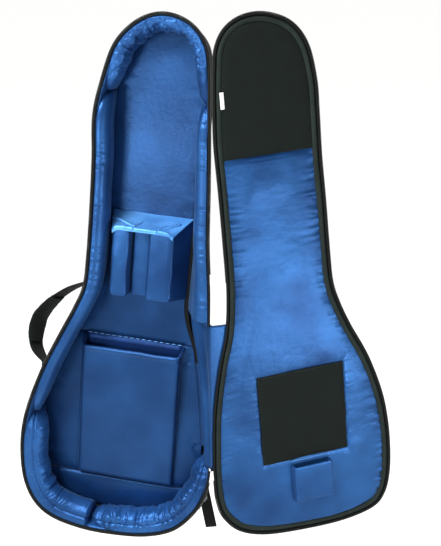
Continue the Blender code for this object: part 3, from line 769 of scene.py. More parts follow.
def neck_rest():
    centre = TRAY_SPACE @ at_place(-0.1405, 0.0, 0.5905, TILT)
    top, channel_top = 0.036, 0.06
    foot = FLOOR - 0.0004

    def wrapped(taper, seed, outer):
        low_x, high_x, low_z, high_z = taper

        def shape(real, x, y, z):
            front, facing = 0.5 - 0.5 * y, np.clip(-y, 0, 1)   # 1 on the face that shows
            head = np.clip(z, 0, 1)
            real[:, 0] += front * (low_x * np.clip(-x, 0, 1) - high_x * np.clip(x, 0, 1))
            real[:, 2] += front * (low_z * np.clip(-z, 0, 1) - high_z * head)
            real[:, 1] -= 0.0022 * (1 - x ** 2) * (1 - z ** 4) * facing
            wrinkle = noise(real[:, 0] / 0.022, real[:, 2] / 0.03, seed)
            real[:, 1] -= 0.0009 * wrinkle * facing ** 2
            end = head ** 6                            # the head-facing end, with its tucks
            real[:, 2] -= 0.003 * near(np.abs(x) - (0.25 + 0.6 * front), 0.1) * end
            real[:, 2] += 0.0012 * end * noise(x * 2.5, y * 2.0, seed + 3)
            corner = np.clip(x * outer, 0, 1) ** 5 * front
            real[:, 2] -= 0.009 * corner * (head ** 8 - np.clip(-z, 0, 1) ** 8)
            side = np.sign(x) * np.clip(np.abs(x), 0, 1) ** 8
            real[:, 0] += 0.0009 * side * noise(real[:, 1] / 0.02, real[:, 2] / 0.03, seed + 5)
        return shape

    for part, x, width, taper, seed in (
            ("far", -0.056, 0.048, (0.012, 0.004, 0.002, 0.02), 101),
            ("near", 0.0425, 0.079, (0.002, 0.0305, 0.002, 0.02), 111)):
        mesh = soft_box((width, foot - top, 0.165), 0.005, 34, wrapped(taper, seed, np.sign(x)))
        piece(f"neck_rest_{part}_roll", mesh, SATIN, "tray", ["neck_rest_rail_" + part],
              centre @ Matrix.Translation((x, (top + foot) / 2, 0.0)), pad=0.8)
    neck_rest_end(centre)

    def trough(real, x, y, z):
        facing = np.clip(-y, 0, 1)
        real[:, 1] -= 0.0016 * (1 - x ** 2) * facing
        real[:, 1] -= 0.0007 * noise(real[:, 0] / 0.02, real[:, 2] / 0.03, 7) * facing

    mesh = soft_box((0.0335, foot - channel_top, 0.15), 0.003, 24, trough)
    piece("neck_rest_trough", mesh, SATIN, "tray", ["neck_rest_channel"],
          centre @ Matrix.Translation((-0.0145, (channel_top + foot) / 2, -0.005)), pad=0.6)


def neck_rest_end(centre):
    """One sheet over the head end of the whole rest, tucked like a parcel at its corners."""
    cloth, reach = (0.14, 0.05), 1.12
    u, v = np.meshgrid(np.linspace(0, 1, 120), np.linspace(0, reach, 60), indexing="ij")
    slope = np.minimum(v, 1.0)
    left, right = -0.0806 + 0.012 * slope, 0.0826 - 0.03 * slope
    z = 0.0838 - 0.02 * slope - np.maximum(v - 1.0, 0) * 0.05
    z = z - 0.009 * np.abs(2 * u - 1) ** 10 * slope
    y = 0.0815 - 0.0466 * slope - 0.001 * np.minimum(np.maximum(v - 0.94, 0) / 0.1, 1.0)
    grid = np.stack((left + (right - left) * u, y, z), axis=-1)

    height = 0.003 * (np.sin(u * math.pi) ** 0.5 * np.sin(slope * math.pi) ** 0.7)
    height = height + 0.0008 * noise(u * 5.0, v * 2.0, 201)
    lines = ((0.0, 0.4, 0.34, 0.92, 0.0016, 0.0042), (0.06, 0.96, 0.33, 1.02, 0.0012, 0.003),
             (0.34, 0.92, 0.41, 0.55, 0.0014, 0.003), (0.37, 1.0, 0.72, 1.02, 0.001, 0.0018),
             (0.74, 0.94, 0.92, 0.42, 0.0016, 0.0042), (0.74, 0.94, 0.77, 0.62, 0.0014, 0.0028),
             (0.75, 1.0, 0.95, 1.04, 0.0013, 0.003), (0.1, 0.7, 0.04, 0.98, 0.0014, 0.0024))
    for u0, v0, u1, v1, width, depth in lines:
        du, dv = (u1 - u0) * cloth[0], (v1 - v0) * cloth[1]
        pu, pv = (u - u0) * cloth[0], (v - v0) * cloth[1]
        t = np.clip((pu * du + pv * dv) / (du * du + dv * dv), 0, 1)
        height = height - depth * near(np.hypot(pu - t * du, pv - t * dv), width) * (0.6 + 0.4 * t)
    grid = push(grid, -np.maximum(height, -0.003), tube=False)
    # The cover's lighter satin is painted light on the up-facing end
    cover = piece("neck_rest_end_cover", ply(grid, 0.0, -0.0024), SATIN_PAINTED_LIGHT, space=centre)
    # Dark threads along the tuck lines: painted shade in the creases
    for k, (u0, v0, u1, v1, width, depth) in enumerate(lines):
        path = []
        for t in np.linspace(0, 1, 14):
            i = min(max(u0 + (u1 - u0) * t, 0.0), 1.0) * (grid.shape[0] - 1)
            j = min((v0 + (v1 - v0) * t) / reach, 1.0) * (grid.shape[1] - 1)
            path.append(grid[int(round(i)), int(round(j))] + (0.0, -0.0009, 0.0014))
        stitches("neck_rest_tuck_painted_shade_%d" % k, path, 0.006, 0.0002, 0.0006, SATIN_SHADE_AND_THREAD, "tray",
                 centre)


def open_pocket(size, wall, radius, rows, columns, seed, puff, wrinkle):
    """A padded pocket with an open top: its face, sides and foot, and a rolled hem.

    The grid goes up the outside, over the hem and down the inside. x is across, -y is
    out of the pocket and z is up; its back edge lies at y = size[1] / 2.
    """
    width, depth, height = size
    turn = np.linspace(0, math.pi / 2, 7)
    hem = height / 2 - wall / 2

    def ring(z, inset=0.0, drop=0.0):
        """Left side, face and right side of the pocket at one height."""
        w, d = width / 2 - inset, max(depth - inset - drop, 0.0012)
        r = min(max(radius - inset, 0.0012), d * 0.9)
        x, y = w - r + r * np.sin(turn), depth / 2 - d + r - r * np.cos(turn)
        x, y = (np.concatenate(parts) for parts in (((-w,), -x[::-1], x, (w,)),
                                                    ((depth / 2,), y[::-1], y, (depth / 2,))))
        points = resample(np.stack((x, y), axis=1), columns)
        return np.column_stack((points, np.full(columns, z)))

    grid = []
    for k in range(8):                                  # the foot, rounded into the face
        a = math.pi / 2 * k / 7
        grid.append(ring(-height / 2 + radius * (1 - math.cos(a)) * 0.9,
                         drop=(depth - 0.0006) * (1 - math.sin(a)) if k < 7 else 0.0))
    grid += [ring(z) for z in np.linspace(-height / 2 + radius, hem, rows)[1:]]
    for a in np.arange(1, 7) * math.pi / 6:             # over the hem
        grid.append(ring(hem + wall / 2 * math.sin(a), wall / 2 * (1 - math.cos(a))))
    grid += [ring(z, wall) for z in np.linspace(hem, -height / 2 + wall, max(6, rows // 3))[1:]]
    grid = np.array(grid)
    x, z = grid[..., 0], grid[..., 2]
    face = smooth_step(depth / 2 - grid[..., 1], depth * 0.55, depth * 0.95)
    u, v = 2 * x / width, 2 * z / height
    out = puff * (1 - u ** 4) * (1 - np.clip(v, -1, 1) ** 4)
    grid[..., 1] -= (out + wrinkle * noise(x / 0.035, z / 0.05, seed)) * face
    return grid


def document_pocket():
    """Padded pocket, thick at its mouth and thin at its foot, with a rolled hem."""
    width, depth, height = 0.205, 0.031, 0.315
    grid = open_pocket((width, depth, height), 0.005, 0.01, 70, 120, 121, 0.001, 0.0007)
    x, y, z = grid[..., 0], grid[..., 1], grid[..., 2]
    top = height / 2
    forward = np.clip((depth / 2 - y) / depth, 0.0, 1.2)
    thin = 0.42 + 0.58 * smooth_step(z, -top, top - 0.02) ** 0.8
    y = depth / 2 - (depth / 2 - y) * thin
    hem = smooth_step(z, top - 0.012, top - 0.003)
    y = y - 0.0032 * near(z - (top - 0.004), 0.005) * forward
    y = y + 0.0014 * near(z - (top - 0.0135), 0.0032) * forward
    z = z - 0.015 * smooth_step(z, top - 0.1, top) * forward
    x = x + 0.0035 * hem * np.sign(x) * (1 - forward) * (np.abs(x) > width / 2 - 0.012)
    grid = np.stack((x, y, z), axis=-1)
    space = TRAY_SPACE @ at_place(POCKET_PLACE[0], FLOOR - 0.0004 - depth / 2, POCKET_PLACE[1],
                                  TILT)
    piece("document_pocket_cloth", Body().grid(grid, tube=False), SATIN_FLOOR, "tray",
          ["document_pocket"], space, pad=0.4)
    # The back wall in darker satin: painted shade inside the pocket's mouth
    xx, zz = np.meshgrid(np.linspace(-width / 2 + 0.002, width / 2 - 0.002, 24),
                         np.linspace(-top + 0.004, top + 0.002, 30))
    back = np.stack((xx, depth / 2 - 0.0014 - 0.0006 * noise(xx / 0.03, zz / 0.04, 6), zz), -1)
    piece("document_pocket_backing_painted_shade", Body().slab(back, depth / 2 - 0.0004), SATIN_SHADE_AND_THREAD,
          space=space)
    over = [(x, depth / 2 - 0.0034, top + 0.004) for x in np.linspace(-0.1, 0.102, 60)]
    side = [(-width / 2 - 0.0065, depth / 2 - 0.003, z) for z in np.linspace(-0.153, 0.151, 60)]
    stitches("document_pocket_stitching", over, 0.0088, 0.0038, 0.0008, SATIN_EDGE, "tray", space)
    stitches("document_pocket_side_stitching", side, 0.003, 0.0022, 0.0006, SATIN_SHADE_AND_THREAD, "tray",
             space)


def box_line(w, h, y):
    """Points round a rectangle of half sizes w and h, as a line to stitch along."""
    corners = [(-w, -h), (w, -h), (w, h), (-w, h), (-w, -h)]
    return [(x0 + (x1 - x0) * t, y, z0 + (z1 - z0) * t)
            for (x0, z0), (x1, z1) in zip(corners, corners[1:])
            for t in np.linspace(0, 1, 20, endpoint=False)]


def stitches(name, line, long, gap, radius, material, body, space, lean=0.0):
    """Thread lying along a line in separate stitches, as one piece."""
    line = np.array([Vector(p)[:] for p in line])
    arc = lengths(line)

    def along(t):
        return Vector([float(np.interp(t, arc, line[:, k])) for k in range(3)])

    out = Body()
    t = gap / 2
    while t + long < arc[-1]:
        a, b = along(t), along(t + long)
        ahead = (b - a).normalized()
        side = ahead.orthogonal().normalized()
        other = ahead.cross(side)
        rings = []
        for f in np.arange(7) / 6:
            centre = a.lerp(b, f) + side * lean * long * (f - 0.5)
            r = radius * (0.45 + 0.55 * math.sin(math.pi * f) ** 0.5)
            rings.append([(centre + (side * math.cos(q) + other * math.sin(q)) * r)[:]
                          for q in np.linspace(0, 2 * math.pi, 6, endpoint=False)])
        out.grid(np.array(rings))
        t += long + gap
    return piece(name, out, material, body, space=space)


# ---- the lid ----
def lid_panel():
    """Outer skin, foam and side of the lid as one padded panel with a rounded edge."""
    section = [(0.0002, 0.0052), (0.004, 0.0048), (0.0056, 0.007), (0.06, 0.007),
               (0.06, 0.018), (0.008, LID_THICK - 0.0002), (0.0026, LID_THICK - 0.0012),
               (0.0006, LID_THICK - 0.0048)]
    fine = loop_subdivide(np.array(section), 0.008)
    grid = LID.sweep(0.0, float(COUNT), 0.005, plain_section(fine))
    piece("lid_edge_cloth", Body().grid(grid, ring=True), SHELL, "lid",
          ["lid_edge_wall", "lid_foam"], pad=0.7)
    crowned_panel("lid_outer_cloth", LID, "lid", "lid_back_skin", (0.004, 0.0),
                  LID_THICK - 0.002, 0.0032, 0.015, (0.0007, 15), (0.33, 0.36, 0.69),
                  (0.002, 0.0028), 0.018)
    piping("lid_back_piping", LID, "lid", 0.003, LID_THICK - 0.0016, 0.0026)


def lid_border():
    """The rounded rib inside the zip."""
    section = loop([(0.005, 0.004), (0.0064, 0.0014), (0.01, 0.0001), (0.0138, 0.0012),
                    (0.0156, 0.0036), (0.015, 0.0058), (0.01, 0.0062), (0.0054, 0.0058)], 24)
    grid = LID.sweep(0.0, float(COUNT), 0.0035, plain_section(section))
    run = lengths(grid[:, 0])[:, None]
    grid = push(grid, 0.0003 * noise(run / 0.03, grid[..., 1] / 0.004, 17), ring=True)
    piece("lid_rib", Body().grid(grid, ring=True), BINDING, "lid", ["lid_piping"])


def lining_surface(high, seed, force):
    """Rows over the lid's lining, and the depth of its folds and edge puckers."""
    flat, height, left, right = scan(LID, 0.016, 0.0, -1.0, high, 0.0028, 130)
    x, z = flat[..., 0], flat[..., 1]
    side = np.minimum(left, right)
    depth = 0.0026 - 0.0036 * (1 - np.exp(-side / 0.028))
    depth = depth - 0.0032 * noise(x / 0.14, z / 0.105, seed) * smooth_step(side, 0.0, 0.05)
    depth = depth - 0.0007 * noise(x / 0.06, z / 0.038, seed + 1)
    depth = depth - 0.00015 * noise(x / 0.018, z / 0.012, seed + 8)
    for distance, shift in ((left, 2), (right, 3)):
        tug = folds(height, distance, 0.008, 0.09, seed + shift, 0.5)
        patchy = 0.35 + 0.65 * smooth_step(noise(height / 0.06, 0, seed + shift + 9), -0.3, 0.3)
        depth = depth - force * np.exp(-distance / 0.014) * (tug - 0.8) * patchy
    limit, soft = -0.005 * smooth_step(side, 0.03, 0.07), 0.0006
    limit = limit * smooth_step(z, 0.1, 0.19) + 0.0004   # the foot rolls lie there when closed
    return flat, height, limit + soft * np.logaddexp(0.0, (depth - limit) / soft)


def lid_lining():
    seam = lift((0.118, 0.808), LID)
    flat, height, depth = lining_surface(seam + 0.004, 131, 0.0046)
    across = upright(LID)[1]
    u = flat @ across
    du = np.abs(u - float(np.dot(BRIDGE_PATCH, across))) - PATCH_SIZE[0] / 2
    dv = np.abs(height - lift(BRIDGE_PATCH, LID)) - PATCH_SIZE[1] / 2
    outside = np.maximum(du, dv)
    beyond = np.maximum(outside, 0)
    tug = folds(np.where(du > dv, height, u), outside, 0.01, 0.08, 141, 0.5)
    depth = depth - 0.0016 * (tug - 0.8) * np.exp(-beyond / 0.01)
    depth = np.where(outside < 0.0, np.maximum(depth, 0.003), depth)
    depth = depth + 0.0016 * np.exp(-beyond / 0.006)
    under = smooth_step(height, seam - 0.01, seam - 0.001)
    depth = np.minimum(depth * (1 - under) + 0.0036 * under, 0.0046)
    lining = piece("lid_lining_cloth", Body().slab(with_depth(flat, depth), 0.006), SATIN, "lid",
                   ["lid_lining"])

    flat, height, left, right = scan(LID, 0.016, 0.0, seam, 2.0, 0.004, 90)
    x, z = flat[..., 0], flat[..., 1]
    side = np.minimum(np.minimum(left, right), height.max() - height)
    side = np.minimum(side, height - height.min() + 0.002)
    depth = 0.0022 - 0.0024 * (1 - np.exp(-side / 0.006))
    depth -= 0.0007 * noise(x / 0.07, z / 0.06, 151) + 0.0002 * noise(x / 0.02, z / 0.02, 152)
    patch = piece("headstock_patch_cloth", Body().slab(with_depth(flat, depth), 0.0034), PATCH,
                  "lid", ["lid_headstock_patch"])


def bridge_patch():
    (w, h), seed, inset = PATCH_SIZE, 161, 0.0022
    uu, vv = np.meshgrid(np.linspace(-0.5, 0.5, 60) * w, np.linspace(-0.5, 0.5, 64) * h)
    side = np.minimum(w / 2 - np.abs(uu), h / 2 - np.abs(vv))
    wobble = 0.0008 * noise(uu / 0.03, vv / 0.03, seed + 4)
    ripple = 0.0006 * noise(uu / 0.05, vv / 0.05, seed)
    depth = 0.001 - 0.002 * (1 - np.exp(-side / 0.004)) - ripple
    grid = np.stack((uu + wobble, depth, vv + wobble), axis=-1)
    space = LID_SPACE @ at_place(BRIDGE_PATCH[0], 0.0, BRIDGE_PATCH[1], -TILT)
    patch = piece("bridge_patch_cloth", Body().slab(grid, 0.0026), PATCH, "lid",
                  ["lid_bridge_patch"], space)
    stitches("bridge_patch_stitching", box_line(w / 2 - inset, h / 2 - inset, -0.0006), 0.003,
             0.0014, 0.00035, THREAD, "lid", space)


def accessory_pocket():
    width, depth, height = 0.084, 0.018, 0.082
    grid = open_pocket((width, depth, height), 0.0036, 0.005, 30, 60, 171, 0.0012, 0.0007)
    space = LID_SPACE @ at_place(0.218, -0.0064, 0.118, -TILT)
    piece("accessory_pocket_cloth", Body().grid(grid, tube=False), SATIN, "lid",
          ["accessory_pocket"], space, pad=0.5)
    line = [(x, depth / 2 - 0.003, height / 2 + 0.01 + 0.0006 * math.sin(x * 130))
            for x in np.linspace(-width / 2, width / 2, 40)]
    stitches("accessory_pocket_stitching", line, 0.0042, 0.0018, 0.0007, SATIN_EDGE, "lid", space,
             lean=0.45)


def label():
    uu, vv = np.meshgrid(np.linspace(-0.5, 0.5, 10) * 0.0075, np.linspace(-0.5, 0.5, 24) * 0.031)
    curl = 0.0005 * np.cos(uu / 0.0075 * math.pi)
    depth = -0.0006 - curl + 0.0003 * noise(vv / 0.008, uu * 0, 5)
    space = LID_SPACE @ at_place(0.0205, 0.0, 0.912, -TILT)
    obj = piece("label_cloth", Body().slab(np.stack((uu, depth, vv), -1), 0.0006), LABEL, "lid",
                ["label_tag"], space)


# ---- the hinge ----
def hinge_web():
    """Satin that runs from the floor's near edge, over the hinge line, to the lid."""
    s_tray = TRAY.even(HINGE_FOOT, HINGE_HEAD, 0.004)[0]
    x_tray, z_tray = TRAY.points(s_tray).T
    inset = spline(TRAY.inset, s_tray)
    x_lid = LID.points(np.interp(z_tray, *lid_heights()))[:, 0]
    swing = Matrix.Rotation(LID_OPEN, 3, "Z")
    rows = []
    for x, z, draw, x_far in zip(x_tray, z_tray, inset, x_lid):
        base = np.array((x - 0.001 - draw * 0.94, 0.0935, z))
        rim = np.array((x - 0.0005, 0.005, z))
        mid = np.array((0.0, 0.0058, z))
        far = np.array(swing @ Vector((x_far + 0.003, 0.0064, z)))
        row = [base + (rim - base) * t for t in np.linspace(0, 1, 34, endpoint=False)]
        row += [rim * (1 - t) ** 2 + mid * (2 * t * (1 - t)) + far * t ** 2
                for t in np.linspace(0, 1, 22)]
        rows.append(row)
    grid = np.array(rows)
    z = grid[..., 2]
    share = np.linspace(0, 1, grid.shape[1])[None, :]
    sag = 0.00245 * np.sin(share * math.pi) * (0.5 + 0.5 * noise(z / 0.1, share * 2.0, 181))
    sag = sag + 0.007 * near(share - 0.14 - (0.42 - z) * 1.1, 0.08)
    sag = sag - 0.0035 * near(share - 0.36 - (0.42 - z) * 0.9, 0.09)
    grid = push(grid, sag, tube=False)
    for name, front, back, material, nodes, under in (
            ("hinge_web", 0.0, 0.0012, SATIN, ["hinge_gusset", "lid_gusset"], "floor_body"),
            ("hinge_web_outer", 0.0022, 0.0032, SHELL, [], "hinge_web")):
        obj = piece(name, ply(grid, front, back), material, None, nodes)
        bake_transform(obj)


def lid_heights():
    """Heights and stations down the lid's hinge edge, for looking a station up."""
    s = np.linspace(31.0, 22.5, 400)
    z = LID.points(s)[:, 1]
    return z[::-1], s[::-1]


def floor_edge_binding():
    """Black tape over the seam on the floor's near edge, from the web up past the rest."""
    section = loop([(0.0015, 0.08), (0.0075, 0.0785), (0.0095, 0.0835), (0.005, 0.085)], 12)

    def beside_pad(run, total):
        shift = 0.013 * smooth_step(run, 0.0, 0.125)
        return section[None, :, 0] + shift, section[None, :, 1] + 0 * run

    grid = TRAY.sweep(26.8, 30.6, 0.004, beside_pad)
    piece("floor_edge_binding", Body().grid(grid), RIM)
    grid = TRAY.sweep(24.9, 26.95, 0.004, plain_section(section + (0.0, 0.0007)))
    piece("floor_edge_cloth", Body().grid(grid), SATIN_FLOOR)


# ---- straps, handle, loop and slider ----
def ribbon_grid(path, widths, thick, across, crown=0.0, segments=12):
    """Flat strap with rounded edges along 3-D points; crown thickens its middle."""
    across = Vector(across)
    xs = np.concatenate((np.linspace(-1, 1, segments), np.linspace(1, -1, segments)))
    fall = np.sqrt(np.maximum(1 - np.abs(xs) ** 6, 0.0))
    heights = thick / 2 * np.maximum(fall, 0.15) + crown * (1 - xs * xs) * 0.5
    heights *= np.repeat((1.0, -1.0), segments)
    rings = []
    for k, (point, width) in enumerate(zip(path, widths)):
        ahead = (path[min(k + 1, len(path) - 1)] - path[max(k - 1, 0)]).normalized()
        up = ahead.cross(across).normalized()
        side = up.cross(ahead).normalized()
        rings.append([(point + side * (width / 2 * x) + up * height)[:]
                      for x, height in zip(xs, heights)])
    return np.array(rings)


def smooth_path(points, count):
    """count points on a smooth curve through the given ones."""
    p = np.array([Vector(q)[:] for q in points])
    p = np.concatenate((2 * p[:1] - p[1:2], p, 2 * p[-1:] - p[-2:-1]))
    size = len(p) - 3
    s = np.linspace(0, size, count)
    i = np.minimum(np.floor(s).astype(int), size - 1)
    return [Vector(q) for q in catmull(*(p[i + k] for k in range(4)), (s - i)[:, None])]


def ribbon(name, path, widths, thick, across, material, body, nodes=(), crown=0.0, segments=12,
           **more):
    grid = ribbon_grid(path, widths, thick, across, crown, segments)
    return piece(name, Body().grid(grid), material, body, nodes, **more)


def strap(side, top, foot, tail_length, tail_lean):
    top, foot = Vector(top), Vector(foot)
    name = "strap_" + side
    down = (foot - top).normalized()
    across = Vector((0.0, 1.0, 0.0)).cross(down)
    length = (foot - top).length

    def bow(t):
        out = STRAP_BOW * math.sin(math.pi * t) ** 0.6
        return top + down * length * t + Vector((0.0, out, 0.0))

    spots = (0.012, 0.05, 0.12, 0.22, 0.34, 0.46, 0.56, 0.6)
    stations = np.linspace(spots[0], spots[-1], 70)
    path = [bow(t) for t in stations]
    wide = np.interp(stations, spots, (0.034, 0.048, 0.06, 0.062, 0.062, 0.06, 0.05, 0.036))
    ribbon(name + "_padding", path, wide, 0.007, across, SHELL, name, [name + "_pad"],
           crown=0.004, segments=16, pad=0.8)
    for edge, word in ((-1, "in"), (1, "out")):
        line = [p + across * (w / 2 - 0.0008) * edge for p, w in zip(path, wide)]
        ribbon(f"{name}_edging_{word}", line, [0.0046] * len(line), 0.004, across, BINDING, name,
               segments=5)
    for part, low, high, node, ends in (
            ("webbing_cloth", 0.602, 0.738, "_webbing", (WEBBING, WEBBING, WEBBING)),
            ("lower_cloth", 0.783, 0.992, "_lower_webbing", (WEBBING, 0.014, 0.01))):
        stations = np.linspace(low, high, 24)
        ribbon(f"{name}_{part}", [bow(t) for t in stations],
               np.interp(stations, (0.94, 0.975, 0.992), ends), 0.0018, across, WEB, name,
               [name + node])
    ladder_lock(side, bow(0.737), bow(0.783), across, name)
    anchor(name + "_anchor_cloth", (foot.x, DEPTH + 0.0019, foot.z), (0.034, 0.0034, 0.04),
           name + "_anchor")

    pivot = bow(0.76) + Vector((0.0, 0.0072, 0.0))
    drop = Vector((math.sin(tail_lean), 0.0, -math.cos(tail_lean)))
    ribbon(f"tail_{side}_cloth", [pivot + drop * tail_length * t for t in np.linspace(0, 1, 30)],
           [WEBBING] * 30, 0.0018, (-drop.z, 0.0, drop.x), WEB, f"tail_{side}", [f"tail_{side}"])


def ladder_lock(side, start, end, across, body):
    """Moulded buckle: a frame with a middle bar and a lifting tongue."""
    along = (end - start).normalized()
    out = along.cross(across).normalized()
    length = (end - start).length - 0.0016
    turn = Matrix((across.normalized(), out, along)).transposed().to_4x4()
    bm = bmesh.new()
    for centre, size in (((-0.0152, 0.0, 0.0), (0.0036, 0.005, length)),
                         ((0.0152, 0.0, 0.0), (0.0036, 0.005, length)),
                         ((0.0, 0.0, length / 2 - 0.0022), (0.034, 0.0048, 0.0044)),
                         ((0.0, 0.0, -length / 2 + 0.0026), (0.034, 0.0048, 0.0052)),
                         ((0.0, 0.0006, 0.0015), (0.029, 0.0036, 0.004)),
                         ((0.0, 0.0006, -0.0075), (0.029, 0.0032, 0.0034))):
        part = bmesh.ops.create_cube(bm, size=1.0)
        bmesh.ops.scale(bm, vec=size, verts=part["verts"])
        bmesh.ops.translate(bm, vec=centre, verts=part["verts"])
    bmesh.ops.bevel(bm, geom=bm.edges, offset=0.0009, segments=3, affect="EDGES")
    layer = bm.loops.layers.uv.new("UVMap")
    for face in bm.faces:
        for corner in face.loops:
            corner[layer].uv = (corner.vert.co.x, corner.vert.co.z)
    piece(f"ladder_lock_{side}_moulding", to_mesh(bm, "ladder"), PLASTIC, body,
          [f"ladder_lock_{side}"], TRAY_SPACE @ Matrix.Translation((start + end) / 2) @ turn,
          crease=40)


def anchor(name, centre, size, node, space=None):
    """A sewn tab with a box of stitching and a cross in it."""
    def sewn(real, x, y, z):
        ring = np.maximum(np.abs(x), np.abs(z))
        cross = near(np.abs(x) - np.abs(z), 0.06) * (ring < 0.8)
        dent = np.maximum(near(ring - 0.8, 0.05), cross) * (np.abs(y) > 0.9)
        real[:, 1] -= 0.0005 * np.sign(y) * dent

    space = space or TRAY_SPACE @ at_place(*centre, TILT)
    piece(name, soft_box(size, 0.0008, 30, sewn), WEB, "tray", [node], space)


def back_details():
    back = DEPTH + 0.0004

    def quilted(real, x, y, z):
        seams = near(np.abs(z) - 0.33, 0.05)
        swell = 0.0016 * (1 - x ** 2) * (1 - z ** 4) - 0.0014 * seams
        real[:, 1] += swell * np.clip(y, 0, 1)

    piece("back_contact_cloth", soft_box((0.056, 0.0066, 0.18), 0.0026, 30, quilted), SHELL,
          "tray", ["back_contact_pad"], TRAY_SPACE @ at_place(-0.167, back + 0.0034, 0.41, TILT),
          pad=0.6)
    yoke = TRAY_SPACE @ at_place(-0.119, back + 0.002, 0.885, TILT)
    piece("strap_yoke_cloth", soft_box((0.15, 0.004, 0.05), 0.0012, 30), SHELL, "tray",
          ["strap_yoke"], yoke)
    stitches("strap_yoke_stitching", box_line(0.071, 0.021, 0.0022), 0.0034, 0.0014, 0.0004,
             BINDING, "tray", yoke)
    anchor("hang_loop_tab_cloth", (-0.106, back + 0.0015, 0.995), (0.05, 0.003, 0.036),
           "hang_loop_tab")
    path = [Vector((0.017, 0.0, z)) for z in np.linspace(0.0, -0.038, 10)]
    path += [Vector((0.017 * math.cos(a), 0.0, -0.04 - 0.017 * math.sin(a)))
             for a in np.linspace(0, math.pi, 25)]
    path += [Vector((-0.017, 0.0, z)) for z in np.linspace(-0.038, 0.0, 10)]
    ribbon("hang_loop_cloth", path, [0.012] * len(path), 0.002, (0.0, 1.0, 0.0), WEB,
           "hang_loop", ["hang_loop"], segments=8, space=Matrix.Rotation(TILT, 4, "Y"))


def handle():
    """Two webbing ends and a padded grip that droop back from their anchors."""
    upper, lower = Vector((-0.2573, 0.05, 0.5343)), Vector((-0.354, 0.05, 0.35))
    along = (lower - upper).normalized()
    level = Vector((along.z, 0.0, -along.x))
    out = level * math.cos(HANDLE_DROOP) + Vector((0.0, math.sin(HANDLE_DROOP), 0.0))
    across = along.cross(out)
    reach = [(0.004, 0.009), (0.016, 0.02), (0.0425, 0.0415), (0.0783, 0.0622),
             (0.116, 0.0763), (0.1422, 0.0802), (0.1678, 0.0736), (0.1886, 0.0617),
             (0.1993, 0.0468), (0.2041, 0.0261), (0.205, 0.0095)]
    points = [upper + along * a + out * b for a, b in reach]
    curve = smooth_path(points, 161)
    for part, path, wide in (("upper", curve[3:54], (0.02, 0.034, 0.038)),
                             ("lower", curve[107:158], (0.038, 0.034, 0.02))):
        widths = np.interp(np.linspace(0, 1, len(path)), (0.0, 0.5, 1.0), wide)
        ribbon(f"handle_{part}_cloth", path, widths, 0.0034, across, WEB, "handle",
               ["handle_webbing_" + part])
    path = curve[47:114]
    widths = np.interp(np.linspace(0, 1, len(path)), (0.0, 0.06, 0.3, 0.5, 0.7, 0.94, 1.0),
                       (0.036, 0.041, 0.046, 0.047, 0.046, 0.041, 0.036))
    grid = ribbon_grid(path, widths, 0.006, across, crown=0.0062, segments=22)
    run = lengths(grid[:, 0])[:, None] + 0 * grid[..., 0]
    side = np.tile(np.linspace(-1, 1, 22), 2)[None, :]
    crease = folds(run, side * 0.02, 0.016, 0.03, 191, 0.6)
    seams = near(run - 0.006, 0.0012) + near(run[-1, 0] - run - 0.006, 0.0012)
    piece("handle_grip_cloth", Body().grid(push(grid, 0.0009 * (crease - 0.7) - 0.001 * seams)),
          SHELL, "handle", ["handle_grip"], pad=0.7)
    turn = Matrix.Rotation(math.pi / 2 - 0.112, 4, "Z")
    for name, point, end, lean in (("handle_anchor_upper", upper, points[0:2], 0.349),
                                   ("handle_anchor_lower", lower, points[10:8:-1], 0.425)):
        anchor(name + "_cloth", None, (0.04, 0.0028, 0.036), name,
               TRAY_SPACE @ at_place(*point, lean) @ turn)
        root = [point + (end[0] - point) * t for t in (0.1, 0.4, 0.7, 1.0)]
        root.append(end[0].lerp(end[1], 0.45))
        fold = ribbon(name + "_fold", smooth_path(root, 14), np.linspace(0.036, 0.021, 14), 0.003,
                      across, WEB, None)
        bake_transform(fold)


def slider():
    s = np.array((23.1,))
    pos = TRAY.points(s)[0]
    along = TRAY.points(s + 0.05)[0] - TRAY.points(s - 0.05)[0]
    along /= np.linalg.norm(along)
    out = np.array((along[1], -along[0]))
    draw = -0.005 + spline(TRAY.inset, s)[0] * 0.0088 / DEPTH
    centre = Vector((pos[0] - out[0] * draw, 0.0088, pos[1] - out[1] * draw))
    lean = math.atan2(-out[1], out[0])
    rail = TRAY_SPACE @ Matrix.Translation(centre) @ Matrix.Rotation(lean, 4, "Y")

    def saddle(real, x, y, z):
        real[:, 0] *= 1 - 0.3 * np.clip(z, 0, 1) ** 2 + 0.06 * np.clip(-z, 0, 1)
        real[:, 1] *= 1 - 0.12 * z ** 2
        real[:, 0] += 0.0009 * near(z, 0.35) * np.sign(x) * (np.abs(x) > 0.9)

    def tab(real, x, y, z):
        real[:, 1] *= 0.72 + 0.28 * np.clip(-z + 0.4, 0, 1)
        hole = near(np.hypot(y, (z + 0.62) * 3.0), 0.45) * (np.abs(x) > 0.9)
        real[:, 0] -= 0.0004 * np.sign(x) * hole

    piece("zip_slider_metal", soft_box((0.006, 0.008, 0.012), 0.0014, 14, saddle), METAL,
          "zip_slider", ["zip_slider"], rail)
    piece("slider_pull_metal", soft_box((0.0014, 0.006, 0.022), 0.0006, 14, tab), METAL,
          "slider_pull", ["slider_pull"], rail @ Matrix.Translation((0.0, 0.0, -0.0182)))


